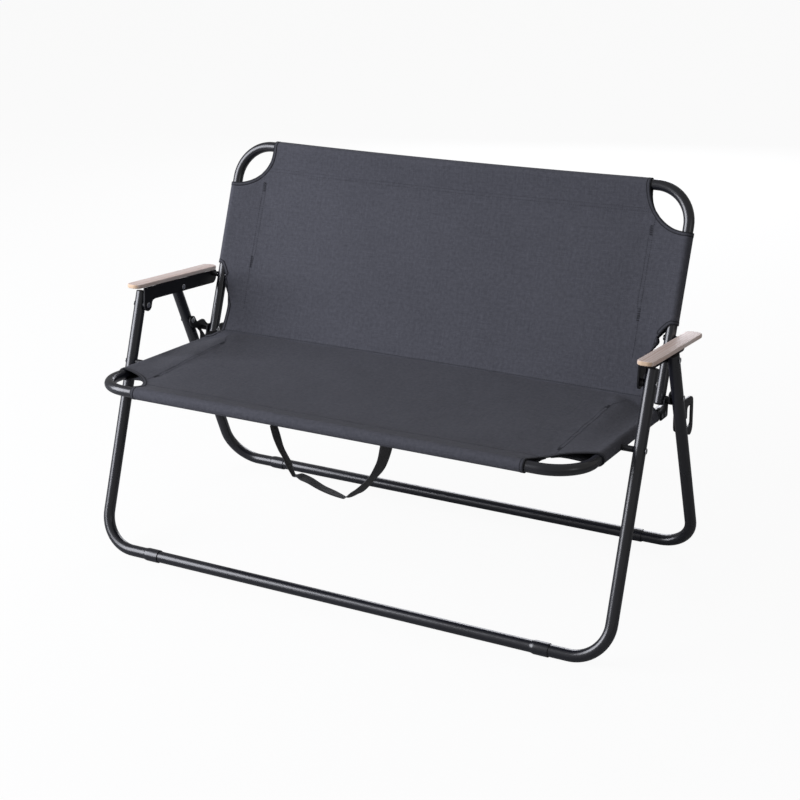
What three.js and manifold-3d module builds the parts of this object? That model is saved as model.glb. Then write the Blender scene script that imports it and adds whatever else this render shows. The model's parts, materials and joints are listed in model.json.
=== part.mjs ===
// Folding two-seat camping chair: a steel tube frame, a slung fabric seat and back, and slatted armrests.
// Millimetres. X is to the right seen from the front, Y to the rear, Z up. The origin is on the floor,
// under the middle of the chair. A side view is drawn as Vector2(depth, height).

import * as THREE from 'three';
import { mergeVertices, toCreasedNormals } from 'three/addons/utils/BufferGeometryUtils.js';
import Module from 'manifold-3d';

const wasm = await Module();
wasm.setup();

const { degToRad } = THREE.MathUtils;

// Tubes of the two leg frames and of the seat and back frames
const legRadius = 11;
const seatRadius = 10;
const tubeWall = 1.2;
const fitGap = 0.3;
const legBend = 68;
const seatBend = 70;
const socketLength = 35;
const socketFlare = 9;
const socketInsert = 24;
const legJoint = 120;
const seatJoint = 93;
const backJoint = 104;

// Widths: from axis to axis of the legs, then inward from a leg's axis to the seat tubes and the slats,
// and from a leg's inner face to the plates
const legSpan = 1060;
const frameInset = 44;
const slatInset = 1;
const armPlateInset = 9.2;
const lockPlateInset = 3.5;

// Side view of the open chair
const frontLean = degToRad(23.1);
const rearLean = degToRad(19.5);
const seatTilt = degToRad(6.5);
const backLean = degToRad(24.4);
const armTilt = degToRad(8.5);
const armPivotHeight = 482;
const pivotSpacing = 114;
const frontLegTop = 25;
const rearLegTop = 13;
const linkReach = 225.7;
const linkDrop = 2.85;
const armRearReach = 119;
const armRearRise = 17.94;
const lockPivotDrop = 88.1;
const seatFront = 173.5;
const railTail = 15.6;
const backTop = 366;
const backTail = 5.8;
const backAxisShare = 0.8;

// Fold
const foldAngle = degToRad(102);
const lockTurn = degToRad(21.5);

// Plates
const plateThickness = 3;
const armPlateDepth = 26;
const armLobe = 12;
const armBoss = 7;
const armPlateTail = 13;
const armRest = 36.3;
const tabLength = 52;
const tabWidth = 27;
const tabThickness = 2.2;
const frontTabStart = 36;
const rearTabLead = 77.6;
const hingePlateLead = 24.6;
const hingePlateTail = 11.4;
const hingePlateDrop = 8;
const hingeLobe = 10.5;
const lockWidth = 129;
const lockDepth = 123;
const lockCorner = 9;
const slotHalf = 5.6;
const slotOverrun = 2.5;
const windowWidth = 22;
const windowHeight = 42;

// Slats of the armrests
const slatWidth = 30;
const slatThickness = 8;
const slatLead = 32;
const slatTail = 22.4;
const slatNose = 14;
const slatEdge = 1.6;

// Rivets, bolts, spacers, screws and plugs
const pinRadius = 2.8;
const headRadius = 5.4;
const headHeight = 1.6;
const washerRadius = 7;
const spacerRadius = 5.4;
const slotBush = 5;
const hingeRivetRadius = 2;
const hingeRivetHead = 4.2;
const hingeRivetHeight = 1.4;
const frontRivetLead = 18.6;
const rearRivetLead = 3.6;
const screwRadius = 1.8;
const screwHead = 3.8;
const screwHeadHeight = 2;
const screwGrip = 5;
const plugStem = 9;
const plugDome = 2.4;

// Sling
const sheetThickness = 2;
const sleeveRadius = 12.6;
const sleeveReach = 52;
const topSleeveReach = 60;
const seatCornerCut = 95;
const backCornerCut = 82;
const seatSleeveLead = 28.6;
const seatCreaseGap = 3.5;
const creaseInset = 19;
const seatNotch = 38;
const seatNotchOut = 14;
const seatNotchRear = 36;
const backNotchOut = 84.9;
const backNotchAbove = 25;
const backNotchBelow = 21;
const backSheetDrop = 20;
const pinClearance = 7.9;

// Carry strap, a loop of webbing under the front of the seat
const strapWidth = 22;
const strapThickness = 1.6;
const strapLeft = -90;
const strapRight = 134;
const strapDrop = 116;

// Faceting
const tubeSides = 12;
const bendSteps = 5;
const pinSides = 8;
const roundSteps = 3;
const strapSteps = 24;
const creaseAngle = degToRad(40);
const weldTolerance = 1e-4;
const overrun = 2;

// A circle drawn with straight sides reaches less far at their middles
const sideShare = Math.cos(Math.PI / tubeSides);
const socketBore = (radius) => (radius + fitGap) / sideShare;
const socketRadius = (radius) => socketBore(radius) + tubeWall;
const drillRadius = (radius) => (radius + fitGap) / Math.cos(Math.PI / pinSides);

// Materials
function finish(color, roughness, metalness) {
  return new THREE.MeshStandardMaterial({ color, roughness, metalness });
}

const tubePaint = finish(0x17181b, 0.36, 0.35);
const platePaint = finish(0x141518, 0.45, 0.35);
const bareSteel = finish(0xb9bbbf, 0.3, 0.95);
const blackPlastic = finish(0x101113, 0.55, 0);
const fabric = finish(0x3e4045, 0.92, 0);
const webbing = finish(0x15161a, 0.85, 0);
const wood = finish(0xb28f76, 0.6, 0);

// Solids: every geometry below is welded, closed and faces out
function weld(geometry) {
  const bare = geometry.clone();
  bare.deleteAttribute('normal');
  bare.deleteAttribute('uv');
  const merged = mergeVertices(bare, weldTolerance);
  const corners = [];
  for (let i = 0; i < merged.index.count; i += 3) {
    const [a, b, c] = [0, 1, 2].map((step) => merged.index.getX(i + step));
    if (a !== b && b !== c && c !== a) corners.push(a, b, c);
  }
  merged.setIndex(corners);
  return merged;
}

function toManifold(geometry) {
  return new wasm.Manifold(new wasm.Mesh({
    numProp: 3,
    vertProperties: geometry.attributes.position.array,
    triVerts: new Uint32Array(geometry.index.array),
  }));
}

function fromManifold(solid) {
  const { vertProperties, triVerts } = solid.getMesh();
  const geometry = new THREE.BufferGeometry();
  geometry.setAttribute('position', new THREE.BufferAttribute(vertProperties, 3));
  geometry.setIndex(new THREE.BufferAttribute(triVerts, 1));
  return geometry;
}

function join(...geometries) {
  return fromManifold(geometries.map(toManifold).reduce((whole, part) => whole.add(part)));
}

function cut(geometry, ...tools) {
  return fromManifold(tools.map(toManifold).reduce((whole, tool) => whole.subtract(tool), toManifold(geometry)));
}

function mirrored(geometry) {
  const copy = geometry.clone().scale(-1, 1, 1);
  const order = Array.from(copy.index.array);
  for (let i = 0; i < order.length; i += 3) {
    [order[i], order[i + 1]] = [order[i + 1], order[i]];
  }
  copy.setIndex(order);
  return copy;
}

function moved(geometry, x, y, z) {
  return geometry.clone().translate(x, y, z);
}

// A piece is added once, or as a mirrored pair named left and right
function addPiece(group, name, geometry, material, position = new THREE.Vector3()) {
  const mesh = new THREE.Mesh(toCreasedNormals(geometry, creaseAngle), material);
  mesh.name = name;
  mesh.position.copy(position);
  group.add(mesh);
}

function addPair(groups, name, geometry, material, x = 0, y = 0, z = 0) {
  addPiece(groups.left, `${name}_left`, mirrored(geometry), material, new THREE.Vector3(-x, y, z));
  addPiece(groups.right, `${name}_right`, geometry, material, new THREE.Vector3(x, y, z));
}

// Turned pieces: a profile of (radius, length) spun about X
function spun(profile, sides) {
  return weld(new THREE.LatheGeometry(profile, sides)).rotateZ(-Math.PI / 2);
}

function rod(radius, length, sides = tubeSides) {
  const profile = [[0, 0], [radius, 0], [radius, length], [0, length]];
  return spun(profile.map(([r, x]) => new THREE.Vector2(r, x)), sides);
}

// A drill runs along X through the whole of a tube or plate and past both faces
function drill(radius, length, y, z, sides = pinSides) {
  return rod(radius, length + 2 * overrun, sides).translate(-length / 2 - overrun, y, z);
}

function dome(radius, height, start) {
  const points = [];
  for (let i = 0; i <= roundSteps; i += 1) {
    const angle = (i / roundSteps) * Math.PI / 2;
    points.push(new THREE.Vector2(radius * Math.cos(angle), start + height * Math.sin(angle)));
  }
  points[roundSteps].x = 0;
  return points;
}

// A pin along X from X = 0 to its grip, with a domed head past each end
function rivet(grip, radius, innerHead, outerHead, height) {
  const start = dome(innerHead, height, 0).reverse().map(({ x, y }) => new THREE.Vector2(x, -y));
  const shank = [new THREE.Vector2(radius, 0), new THREE.Vector2(radius, grip)];
  return spun([...start, ...shank, ...dome(outerHead, height, grip)], pinSides);
}

function ring(inner, outer, length, sides = tubeSides) {
  const profile = [[inner, 0], [outer, 0], [outer, length], [inner, length], [inner, 0]];
  return spun(profile.map(([r, x]) => new THREE.Vector2(r, x)), sides);
}

// A plug along X: a stem inside the tube and a low dome over its cut end at X = 0
function plug(radius, stem, height) {
  const stemRadius = (radius - tubeWall) * sideShare - fitGap;
  const profile = [[0, -stem], [stemRadius, -stem], [stemRadius, fitGap], [radius, fitGap]];
  const points = profile.map(([r, x]) => new THREE.Vector2(r, x));
  return spun([...points, ...dome(radius, height, 2 * fitGap)], tubeSides);
}

// The widened end of a tube: its mouth is at X = 0 and it grows out of the tube wall behind
function socket(radius) {
  const bead = fitGap;
  const outer = socketRadius(radius);
  const bore = socketBore(radius);
  const profile = [
    [radius - tubeWall - bead, -socketLength - overrun],
    [radius + bead, -socketLength - overrun],
    [radius + bead, -socketLength],
    [outer, -socketLength + socketFlare],
    [outer, 0],
    [bore, 0],
    [bore, -socketLength + socketFlare],
    [radius - tubeWall - bead, -socketLength],
    [radius - tubeWall - bead, -socketLength - overrun],
  ];
  return spun(profile.map(([r, x]) => new THREE.Vector2(r, x)), tubeSides);
}

// A path that is sampled only where its direction changes
class StationPath extends THREE.Curve {
  constructor(stations) {
    super();
    this.stations = stations;
  }

  station(share) {
    return this.stations[Math.round(share * (this.stations.length - 1))];
  }

  getPointAt(share, target = new THREE.Vector3()) {
    return target.copy(this.station(share).point);
  }

  getTangentAt(share, target = new THREE.Vector3()) {
    return target.copy(this.station(share).tangent);
  }
}

// Straight, one right-angle bend, straight
function bentStations(start, corner, end, radius) {
  const back = start.clone().sub(corner).normalize();
  const ahead = end.clone().sub(corner).normalize();
  const centre = corner.clone().addScaledVector(back, radius).addScaledVector(ahead, radius);
  const stations = [{ point: start, tangent: back.clone().negate() }];
  for (let i = 0; i <= bendSteps; i += 1) {
    const angle = (i / bendSteps) * Math.PI / 2;
    const point = centre.clone().addScaledVector(ahead, -radius * Math.cos(angle));
    point.addScaledVector(back, -radius * Math.sin(angle));
    const tangent = ahead.clone().multiplyScalar(Math.sin(angle));
    tangent.addScaledVector(back, -Math.cos(angle));
    stations.push({ point, tangent });
  }
  stations.push({ point: end, tangent: ahead });
  return stations;
}

function straightStations(start, end) {
  const tangent = end.clone().sub(start).normalize();
  return [{ point: start, tangent }, { point: end, tangent }];
}

function sweep(stations, shape, curveSegments) {
  const extrudePath = new StationPath(stations);
  const steps = stations.length - 1;
  return weld(new THREE.ExtrudeGeometry(shape, { steps, curveSegments, extrudePath }));
}

function tube(stations, radius) {
  const section = new THREE.Shape().absarc(0, 0, radius, 0, 2 * Math.PI, false);
  section.holes.push(new THREE.Path().absarc(0, 0, radius - tubeWall, 0, 2 * Math.PI, false));
  return sweep(stations, section, tubeSides / 2);
}

// Flat plates: an outline in the side view, made thick along X
function plate(shape, thickness, curveSegments = roundSteps) {
  const flat = new THREE.ExtrudeGeometry(shape, { depth: thickness, bevelEnabled: false, curveSegments });
  const sideView = new THREE.Matrix4().makeBasis(
    new THREE.Vector3(0, 1, 0),
    new THREE.Vector3(0, 0, 1),
    new THREE.Vector3(1, 0, 0),
  );
  return weld(flat).applyMatrix4(sideView);
}

// A closed outline through the corners, each rounded off over its own reach
function roundedOutline(corners, reach) {
  const shape = new THREE.Shape();
  corners.forEach((corner, index) => {
    const before = corners.at(index - 1);
    const after = corners[(index + 1) % corners.length];
    const start = corner.clone().lerp(before, Math.min(0.5, reach / corner.distanceTo(before)));
    const end = corner.clone().lerp(after, Math.min(0.5, reach / corner.distanceTo(after)));
    if (index === 0) shape.moveTo(start.x, start.y);
    else shape.lineTo(start.x, start.y);
    shape.quadraticCurveTo(corner.x, corner.y, end.x, end.y);
  });
  shape.closePath();
  return shape;
}

// Pivots in the side view
const origin = new THREE.Vector2();
const axleHeight = socketRadius(legRadius);
const frontPoint = (distance) => new THREE.Vector2(
  distance * Math.sin(frontLean),
  axleHeight + distance * Math.cos(frontLean),
);
const seatPivotHeight = armPivotHeight - pivotSpacing;
const link = new THREE.Vector2(linkReach, -linkDrop);
const armPivot = frontPoint(armPivotHeight);
const seatPivot = frontPoint(seatPivotHeight);
const armBackPivot = armPivot.clone().add(link);
const seatBackPivot = seatPivot.clone().add(link);
const rearPivot = new THREE.Vector2(armRearReach, armRearRise).rotateAround(origin, -armTilt).add(armPivot);
const rearPivotHeight = (rearPivot.y - axleHeight) / Math.cos(rearLean);
const lockPivotHeight = rearPivotHeight - lockPivotDrop;
const footDepth = rearPivot.x + rearPivotHeight * Math.sin(rearLean);
const rearPoint = (distance) => new THREE.Vector2(
  footDepth - distance * Math.sin(rearLean),
  axleHeight + distance * Math.cos(rearLean),
);
const lockPivot = rearPoint(lockPivotHeight);
const backCentre = armBackPivot.clone().lerp(seatBackPivot, backAxisShare);

// A group for each moving body, placed at its own reference point and turned to its own lean
function bodyGroup(point, tilt) {
  const group = new THREE.Group();
  group.position.set(0, point.x, point.y);
  group.rotation.x = tilt;
  return group;
}

function pairOf(point, tilt) {
  return { left: bodyGroup(point, tilt), right: bodyGroup(point, tilt) };
}

const bothSides = (group) => ({ left: group, right: group });

function toLocal(point, origin, tilt) {
  return point.clone().sub(origin).rotateAround(new THREE.Vector2(), -tilt);
}

const frontFrame = bodyGroup(frontPoint(0), -frontLean);
const rearFrame = bodyGroup(rearPoint(0), rearLean);
const seatFrame = bodyGroup(seatPivot, -seatTilt);
const backFrame = bodyGroup(backCentre, -backLean);
const arms = pairOf(armPivot, -armTilt);
const locks = pairOf(lockPivot, 0);

// Leg frames: a cross tube and two legs, each left leg over and each right leg inside its joint
const legSide = legSpan / 2;
const legInner = legSide - legRadius;
const legOuter = legSide + legRadius;
const legMouth = legSide - legJoint;

function legTube(startX, height) {
  const start = new THREE.Vector3(startX, 0, 0);
  const corner = new THREE.Vector3(legSide, 0, 0);
  const end = new THREE.Vector3(legSide, 0, height);
  return tube(bentStations(start, corner, end, legBend), legRadius);
}

function addLegFrame(group, name, height, pinHeights) {
  const plain = legTube(legMouth - socketInsert, height);
  const sleeve = mirrored(socket(legRadius)).translate(legMouth, 0, 0);
  const widened = join(legTube(legMouth + socketLength, height), sleeve);
  const drills = pinHeights.map((z) => drill(drillRadius(pinRadius), 2 * legRadius, 0, z).translate(legSide, 0, 0));
  addPiece(group, `${name}_leg_right`, cut(plain, ...drills), tubePaint);
  addPiece(group, `${name}_leg_left`, mirrored(cut(widened, ...drills)), tubePaint);
  const crossStart = new THREE.Vector3(-legMouth - socketInsert, 0, 0);
  const crossEnd = new THREE.Vector3(legMouth - socketLength, 0, 0);
  const cross = tube(straightStations(crossStart, crossEnd), legRadius);
  addPiece(group, `${name}_cross_tube`, join(cross, moved(socket(legRadius), legMouth, 0, 0)), tubePaint);
  const cap = plug(legRadius, Math.min(plugStem, height - Math.max(...pinHeights) - 2 * pinRadius), plugDome);
  addPair(bothSides(group), `${name}_leg_plug`, cap.rotateY(-Math.PI / 2), blackPlastic, legSide, 0, height);
}

addLegFrame(frontFrame, 'front', armPivotHeight + frontLegTop, [seatPivotHeight, armPivotHeight]);
addLegFrame(rearFrame, 'rear', rearPivotHeight + rearLegTop, [lockPivotHeight, rearPivotHeight]);

// Seat frame: two rails and the front tube, in the seat's own plane
const seatSide = legSide - frameInset;
const seatSpan = 2 * seatSide;
const seatMouth = seatSide - seatJoint;
const hingePin = toLocal(seatBackPivot, seatPivot, -seatTilt);
const seatRear = hingePin.x + railTail;
const hingeRivetFront = hingePin.x - frontRivetLead;
const hingeRivetRear = hingePin.x - rearRivetLead;

function sideTube(startX, crossAt, end, tilt) {
  const stations = bentStations(
    new THREE.Vector3(startX, 0, crossAt),
    new THREE.Vector3(seatSide, 0, crossAt),
    new THREE.Vector3(seatSide, 0, end),
    seatBend,
  );
  return tube(stations, seatRadius).rotateX(tilt);
}

function crossTube(mouth, at, tilt) {
  const start = new THREE.Vector3(-mouth + socketLength, 0, at);
  const end = new THREE.Vector3(mouth - socketLength, 0, at);
  const right = moved(socket(seatRadius), mouth, 0, at);
  const left = mirrored(socket(seatRadius)).translate(-mouth, 0, at);
  return join(tube(straightStations(start, end), seatRadius), right, left).rotateX(tilt);
}

const rearward = -Math.PI / 2;
const seatDrills = [
  drill(drillRadius(pinRadius), 2 * seatRadius, 0, 0),
  drill(drillRadius(hingeRivetRadius), 2 * seatRadius, hingeRivetFront, 0),
  drill(drillRadius(hingeRivetRadius), 2 * seatRadius, hingeRivetRear, 0),
].map((tool) => tool.translate(seatSide, 0, 0));
const rail = cut(sideTube(seatMouth - socketInsert, -seatFront, seatRear, rearward), ...seatDrills);
addPair(bothSides(seatFrame), 'seat_rail', rail, tubePaint);
addPiece(seatFrame, 'seat_front_tube', crossTube(seatMouth, -seatFront, rearward), tubePaint);
addPair(
  bothSides(seatFrame),
  'seat_rail_plug',
  plug(seatRadius, plugStem, plugDome).rotateZ(Math.PI / 2),
  blackPlastic,
  seatSide,
  seatRear,
);

// Back frame: two uprights and the top tube, in the back's own plane
const backMouth = seatSide - backJoint;
const armPinBack = toLocal(armBackPivot, backCentre, -backLean);
const seatPinBack = toLocal(seatBackPivot, backCentre, -backLean);
const backFoot = seatPinBack.y - backTail;
const backDrills = [armPinBack, seatPinBack].map(({ x, y }) => (
  drill(drillRadius(pinRadius), 2 * seatRadius, x, y).translate(seatSide, 0, 0)
));
const upright = cut(sideTube(backMouth - socketInsert, backTop, backFoot, 0), ...backDrills);
addPair(bothSides(backFrame), 'back_upright', upright, tubePaint);
addPiece(backFrame, 'back_top_tube', crossTube(backMouth, backTop, 0), tubePaint);
const footStem = backTail - pinRadius - 4 * fitGap;
addPair(
  bothSides(backFrame),
  'back_upright_plug',
  plug(seatRadius, footStem, plugDome).rotateY(Math.PI / 2),
  blackPlastic,
  seatSide,
  0,
  backFoot,
);

// Hinge plates, riveted to the outer face of the rails, carry the back's lower pivots
const railFace = seatSide + seatRadius + fitGap;
const hingePlateFront = hingePin.x - hingePlateLead;
const hingePlateRear = hingePin.x + hingePlateTail;

function hingeOutline() {
  const shape = new THREE.Shape();
  shape.moveTo(hingePlateFront, -hingePlateDrop);
  shape.lineTo(hingePlateRear - hingePlateDrop / 2, -hingePlateDrop);
  shape.quadraticCurveTo(hingePlateRear, -hingePlateDrop, hingePlateRear, -hingePlateDrop / 2);
  shape.lineTo(hingePin.x + hingeLobe, hingePin.y);
  shape.absarc(hingePin.x, hingePin.y, hingeLobe, 0, Math.PI, false);
  shape.quadraticCurveTo(hingePin.x - hingeLobe, hingePlateDrop, hingePlateFront, hingePlateDrop / 2);
  shape.closePath();
  return shape;
}

const hingePlate = cut(
  plate(hingeOutline(), plateThickness),
  drill(drillRadius(pinRadius), 2 * plateThickness, hingePin.x, hingePin.y),
  drill(drillRadius(hingeRivetRadius), 2 * plateThickness, hingeRivetFront, 0),
  drill(drillRadius(hingeRivetRadius), 2 * plateThickness, hingeRivetRear, 0),
);
addPair(bothSides(seatFrame), 'seat_hinge_plate', hingePlate, platePaint, railFace);
const hingeGrip = 2 * seatRadius + plateThickness + 3 * fitGap;
const hingeRivet = rivet(hingeGrip, hingeRivetRadius, hingeRivetHead, hingeRivetHead, hingeRivetHeight);
const hingeRivets = [['front', hingeRivetFront], ['rear', hingeRivetRear]];
for (const [place, y] of hingeRivets) {
  const x = seatSide - seatRadius - fitGap;
  addPair(bothSides(seatFrame), `hinge_rivet_${place}`, hingeRivet, bareSteel, x, y);
}

// Arm brackets: a plate beside the legs with a lobe down to the front leg, a pressed boss at each leg,
// and two tabs under the slat
const armPlateInner = legInner - armPlateInset;
const slatCentre = legSide - slatInset;
const armBackPin = toLocal(armBackPivot, armPivot, -armTilt);
const armRearPin = toLocal(rearPivot, armPivot, -armTilt);
const rearTabStart = armBackPin.x - rearTabLead;

function armOutline() {
  const top = armRest - fitGap;
  const bottom = top - armPlateDepth;
  const round = armPlateDepth / 2;
  const tail = armBackPin.x + armPlateTail - round;
  const shape = new THREE.Shape();
  shape.moveTo(-armLobe, 0);
  shape.absarc(0, 0, armLobe, Math.PI, 2 * Math.PI, false);
  shape.quadraticCurveTo(armLobe, bottom, 2 * armLobe, bottom);
  shape.lineTo(tail, bottom);
  shape.absarc(tail, bottom + round, round, -Math.PI / 2, 0, false);
  shape.lineTo(tail + round, top);
  shape.lineTo(-armLobe, top);
  shape.closePath();
  return shape;
}

function tab(start) {
  const length = tabWidth - plateThickness / 2;
  const foot = new THREE.BoxGeometry(length, tabLength, tabThickness);
  return weld(foot).translate(
    plateThickness / 2 + length / 2,
    start + tabLength / 2,
    armRest - fitGap - tabThickness / 2,
  );
}

const screwX = slatCentre - armPlateInner;
const tabScrews = [frontTabStart, rearTabStart].map((start) => start + tabLength / 2);
const upward = (geometry) => geometry.rotateY(-Math.PI / 2);
const screwDrill = () => upward(rod(drillRadius(screwRadius), tabThickness + 2 * overrun, pinSides));
const bossReach = legInner - armPlateInner - fitGap;
const bosses = [origin, armRearPin].map(({ x, y }) => rod(armBoss, bossReach - tubeWall).translate(tubeWall, x, y));
const armBracket = cut(
  join(plate(armOutline(), plateThickness), ...bosses, ...[frontTabStart, rearTabStart].map(tab)),
  drill(drillRadius(pinRadius), 2 * bossReach, 0, 0),
  drill(drillRadius(pinRadius), 2 * plateThickness, armBackPin.x, armBackPin.y),
  drill(drillRadius(pinRadius), 2 * bossReach, armRearPin.x, armRearPin.y),
  ...tabScrews.map((y) => screwDrill().translate(screwX, y, armRest - fitGap - tabThickness - overrun)),
);
addPair(arms, 'arm_bracket', armBracket, platePaint, armPlateInner);

// Slats, with rounded ends and eased upper edges
const slatLength = slatLead + armBackPin.x + slatTail;

function slatOutline() {
  const half = slatWidth / 2;
  return roundedOutline([
    new THREE.Vector2(-half, 0),
    new THREE.Vector2(half, 0),
    new THREE.Vector2(half, slatLength),
    new THREE.Vector2(-half, slatLength),
  ], slatNose);
}

function slat() {
  const bevel = { bevelThickness: slatEdge, bevelSize: slatEdge, bevelOffset: -slatEdge, bevelSegments: 2 };
  const depth = slatThickness - 2 * slatEdge;
  const board = weld(new THREE.ExtrudeGeometry(slatOutline(), { depth, curveSegments: roundSteps, ...bevel }));
  board.translate(slatCentre, -slatLead, armRest + slatEdge);
  const holes = tabScrews.map((y) => (
    upward(rod(drillRadius(screwRadius), screwGrip + overrun, pinSides)).translate(slatCentre, y, armRest - overrun)
  ));
  return cut(board, ...holes);
}

addPair(arms, 'armrest_slat', slat(), wood);

// Slat screws, driven up through the tabs
const screwUnder = armRest - 2 * fitGap - tabThickness;
const screwLength = screwGrip + tabThickness + fitGap;
const screwProfile = [
  ...dome(screwHead, screwHeadHeight, 0).reverse().map(({ x, y }) => new THREE.Vector2(x, -y)),
  new THREE.Vector2(screwRadius, 0),
  new THREE.Vector2(screwRadius, screwLength),
  new THREE.Vector2(0, screwLength),
];
const screw = upward(spun(screwProfile, pinSides));
addPair(arms, 'slat_screw_front', screw, bareSteel, slatCentre, tabScrews[0], screwUnder);
addPair(arms, 'slat_screw_rear', screw, bareSteel, slatCentre, tabScrews[1], screwUnder);

// Lock plates: the back's lower pivot pin slides in a slot that follows its path through the fold
const lockPlateInner = legInner - lockPlateInset;
const rearTurn = frontLean + rearLean;

function pinInPlate(share) {
  const angle = share * foldAngle;
  const pin = seatBackPivot.clone().rotateAround(seatPivot, -angle);
  const knee = rearPivot.clone().rotateAround(armPivot, -angle);
  const pivot = knee.add(lockPivot.clone().sub(rearPivot).rotateAround(origin, -share * rearTurn));
  return pin.sub(pivot).rotateAround(origin, share * (rearTurn + lockTurn));
}

function slotOutline() {
  const steps = 3 * roundSteps;
  const course = [];
  for (let i = 0; i <= steps; i += 1) course.push(pinInPlate(i / steps));
  const first = course[0].clone().sub(course[1]).setLength(fitGap);
  const last = course[steps].clone().sub(course[steps - 1]).setLength(slotOverrun);
  course[0].add(first);
  course[steps].add(last);
  const offset = (index, side) => {
    const ahead = course[Math.min(index + 1, steps)].clone().sub(course[Math.max(index - 1, 0)]);
    return course[index].clone().add(ahead.setLength(side * slotHalf).rotateAround(origin, Math.PI / 2));
  };
  const endAngle = course[steps].clone().sub(course[steps - 1]).angle();
  const startAngle = course[0].clone().sub(course[1]).angle();
  const shape = new THREE.Shape();
  const right = course.map((_, index) => offset(index, -1));
  const left = course.map((_, index) => offset(index, 1)).reverse();
  shape.moveTo(right[0].x, right[0].y);
  right.slice(1).forEach(({ x, y }) => shape.lineTo(x, y));
  shape.absarc(course[steps].x, course[steps].y, slotHalf, endAngle - Math.PI / 2, endAngle + Math.PI / 2, false);
  left.slice(1).forEach(({ x, y }) => shape.lineTo(x, y));
  shape.absarc(course[0].x, course[0].y, slotHalf, startAngle - Math.PI / 2, startAngle + Math.PI / 2, false);
  return shape;
}

// Corners of the plate as shares of its width and depth, from the lock pivot rearward and up
const lockOutlineShares = [
  [-0.075, -0.07],
  [-0.075, 0.07],
  [0.055, 0.08],
  [0.11, -0.075],
  [0.2, -0.065],
  [0.31, -0.07],
  [0.37, -0.185],
  [0.66, -0.31],
  [0.89, -0.345],
  [1, -0.41],
  [1.01, -0.6],
  [1.01, -0.93],
  [0.92, -1.01],
  [0.36, -0.73],
  [0.18, -0.635],
  [0.17, -0.4],
  [0.205, -0.29],
  [0.12, -0.18],
  [0.02, -0.14],
];

function lockPlate() {
  const corners = lockOutlineShares.map(([across, down]) => (
    new THREE.Vector2(across * lockWidth, down * lockDepth)
  ));
  const end = pinInPlate(1);
  const pocket = roundedOutline([
    new THREE.Vector2(end.x - windowWidth / 8, end.y - windowHeight / 3),
    new THREE.Vector2(end.x + 7 * windowWidth / 8, end.y - windowHeight / 3),
    new THREE.Vector2(end.x + 7 * windowWidth / 8, end.y + 2 * windowHeight / 3),
    new THREE.Vector2(end.x - windowWidth / 8, end.y + 2 * windowHeight / 3),
  ], slotHalf);
  return cut(
    plate(roundedOutline(corners, lockCorner), plateThickness, 3),
    plate(slotOutline(), plateThickness + 2 * overrun).translate(-overrun, 0, 0),
    plate(pocket, plateThickness + 2 * overrun).translate(-overrun, 0, 0),
    drill(drillRadius(pinRadius), 2 * plateThickness, 0, 0),
  );
}

addPair(locks, 'lock_plate', lockPlate(), platePaint, lockPlateInner);

// Pins and spacers through the tubes and plates, from inside to outside
const armPlateOuter = armPlateInner + plateThickness;
const lockPlateOuter = lockPlateInner + plateThickness;
const railInner = seatSide - seatRadius;
const railOuter = seatSide + seatRadius;

function addPin(groups, name, from, to, y, z, outerHead = headRadius) {
  const start = from - fitGap;
  const pin = rivet(to + fitGap - start, pinRadius, headRadius, outerHead, headHeight);
  addPair(groups, name, pin, bareSteel, start, y, z);
}

function addSpacer(groups, name, radius, from, to, y, z) {
  const bore = drillRadius(pinRadius);
  const sleeve = ring(bore, radius, to - from - 2 * fitGap);
  addPair(groups, name, sleeve, bareSteel, from + fitGap, y, z);
}

const frontSides = bothSides(frontFrame);
const rearSides = bothSides(rearFrame);
const backSides = bothSides(backFrame);
addPin(frontSides, 'arm_pivot_rivet', armPlateInner, legOuter, 0, armPivotHeight);
addPin(frontSides, 'seat_pivot_rivet', railInner, legOuter, 0, seatPivotHeight);
addSpacer(frontSides, 'seat_pivot_spacer', spacerRadius, railOuter, legInner, 0, seatPivotHeight);
addPin(rearSides, 'rear_leg_rivet', armPlateInner, legOuter, 0, rearPivotHeight);
addPin(rearSides, 'lock_rivet', lockPlateInner, legOuter, 0, lockPivotHeight);
addPin(backSides, 'arm_back_bolt', railInner, armPlateOuter, armPinBack.x, armPinBack.y);
addSpacer(backSides, 'arm_back_spacer', spacerRadius, railOuter, armPlateInner, armPinBack.x, armPinBack.y);
const hingeOuter = railFace + plateThickness;
const bushOuter = lockPlateOuter + 3 * fitGap;
addPin(backSides, 'seat_back_bolt', railInner, bushOuter, seatPinBack.x, seatPinBack.y, washerRadius);
addSpacer(backSides, 'seat_back_spacer', slotBush, hingeOuter, bushOuter, seatPinBack.x, seatPinBack.y);

// Sling: a flat sheet in the plane of the tubes with a hem folded round each tube
// A hem's section is a circle round the tube that narrows to the sheet on its inner side
function hem(length, reach) {
  const half = sheetThickness / 2;
  const touch = Math.acos(sleeveRadius / reach);
  const shape = new THREE.Shape();
  shape.moveTo(-reach, half);
  shape.lineTo(-reach, -half);
  shape.absarc(0, 0, sleeveRadius, Math.PI + touch, 3 * Math.PI - touch, false);
  shape.closePath();
  const curveSegments = tubeSides / 2;
  return weld(new THREE.ExtrudeGeometry(shape, { depth: length, bevelEnabled: false, curveSegments }));
}

// A hem is laid along Y for the sides or along X for the front, its sheet side facing inward
function sideHem(from, to) {
  return hem(to - from, sleeveReach).rotateX(-Math.PI / 2).translate(seatSide, from, 0);
}

function crossHem(reach) {
  return hem(seatSpan, reach).rotateX(-Math.PI / 2).rotateZ(-Math.PI / 2).translate(-seatSide, 0, 0);
}

function disc(radius, x, y) {
  const half = sleeveRadius + overrun;
  const round = new THREE.CylinderGeometry(radius, radius, 2 * half, 3 * tubeSides);
  return weld(round).rotateX(Math.PI / 2).translate(x, y, 0);
}

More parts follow.
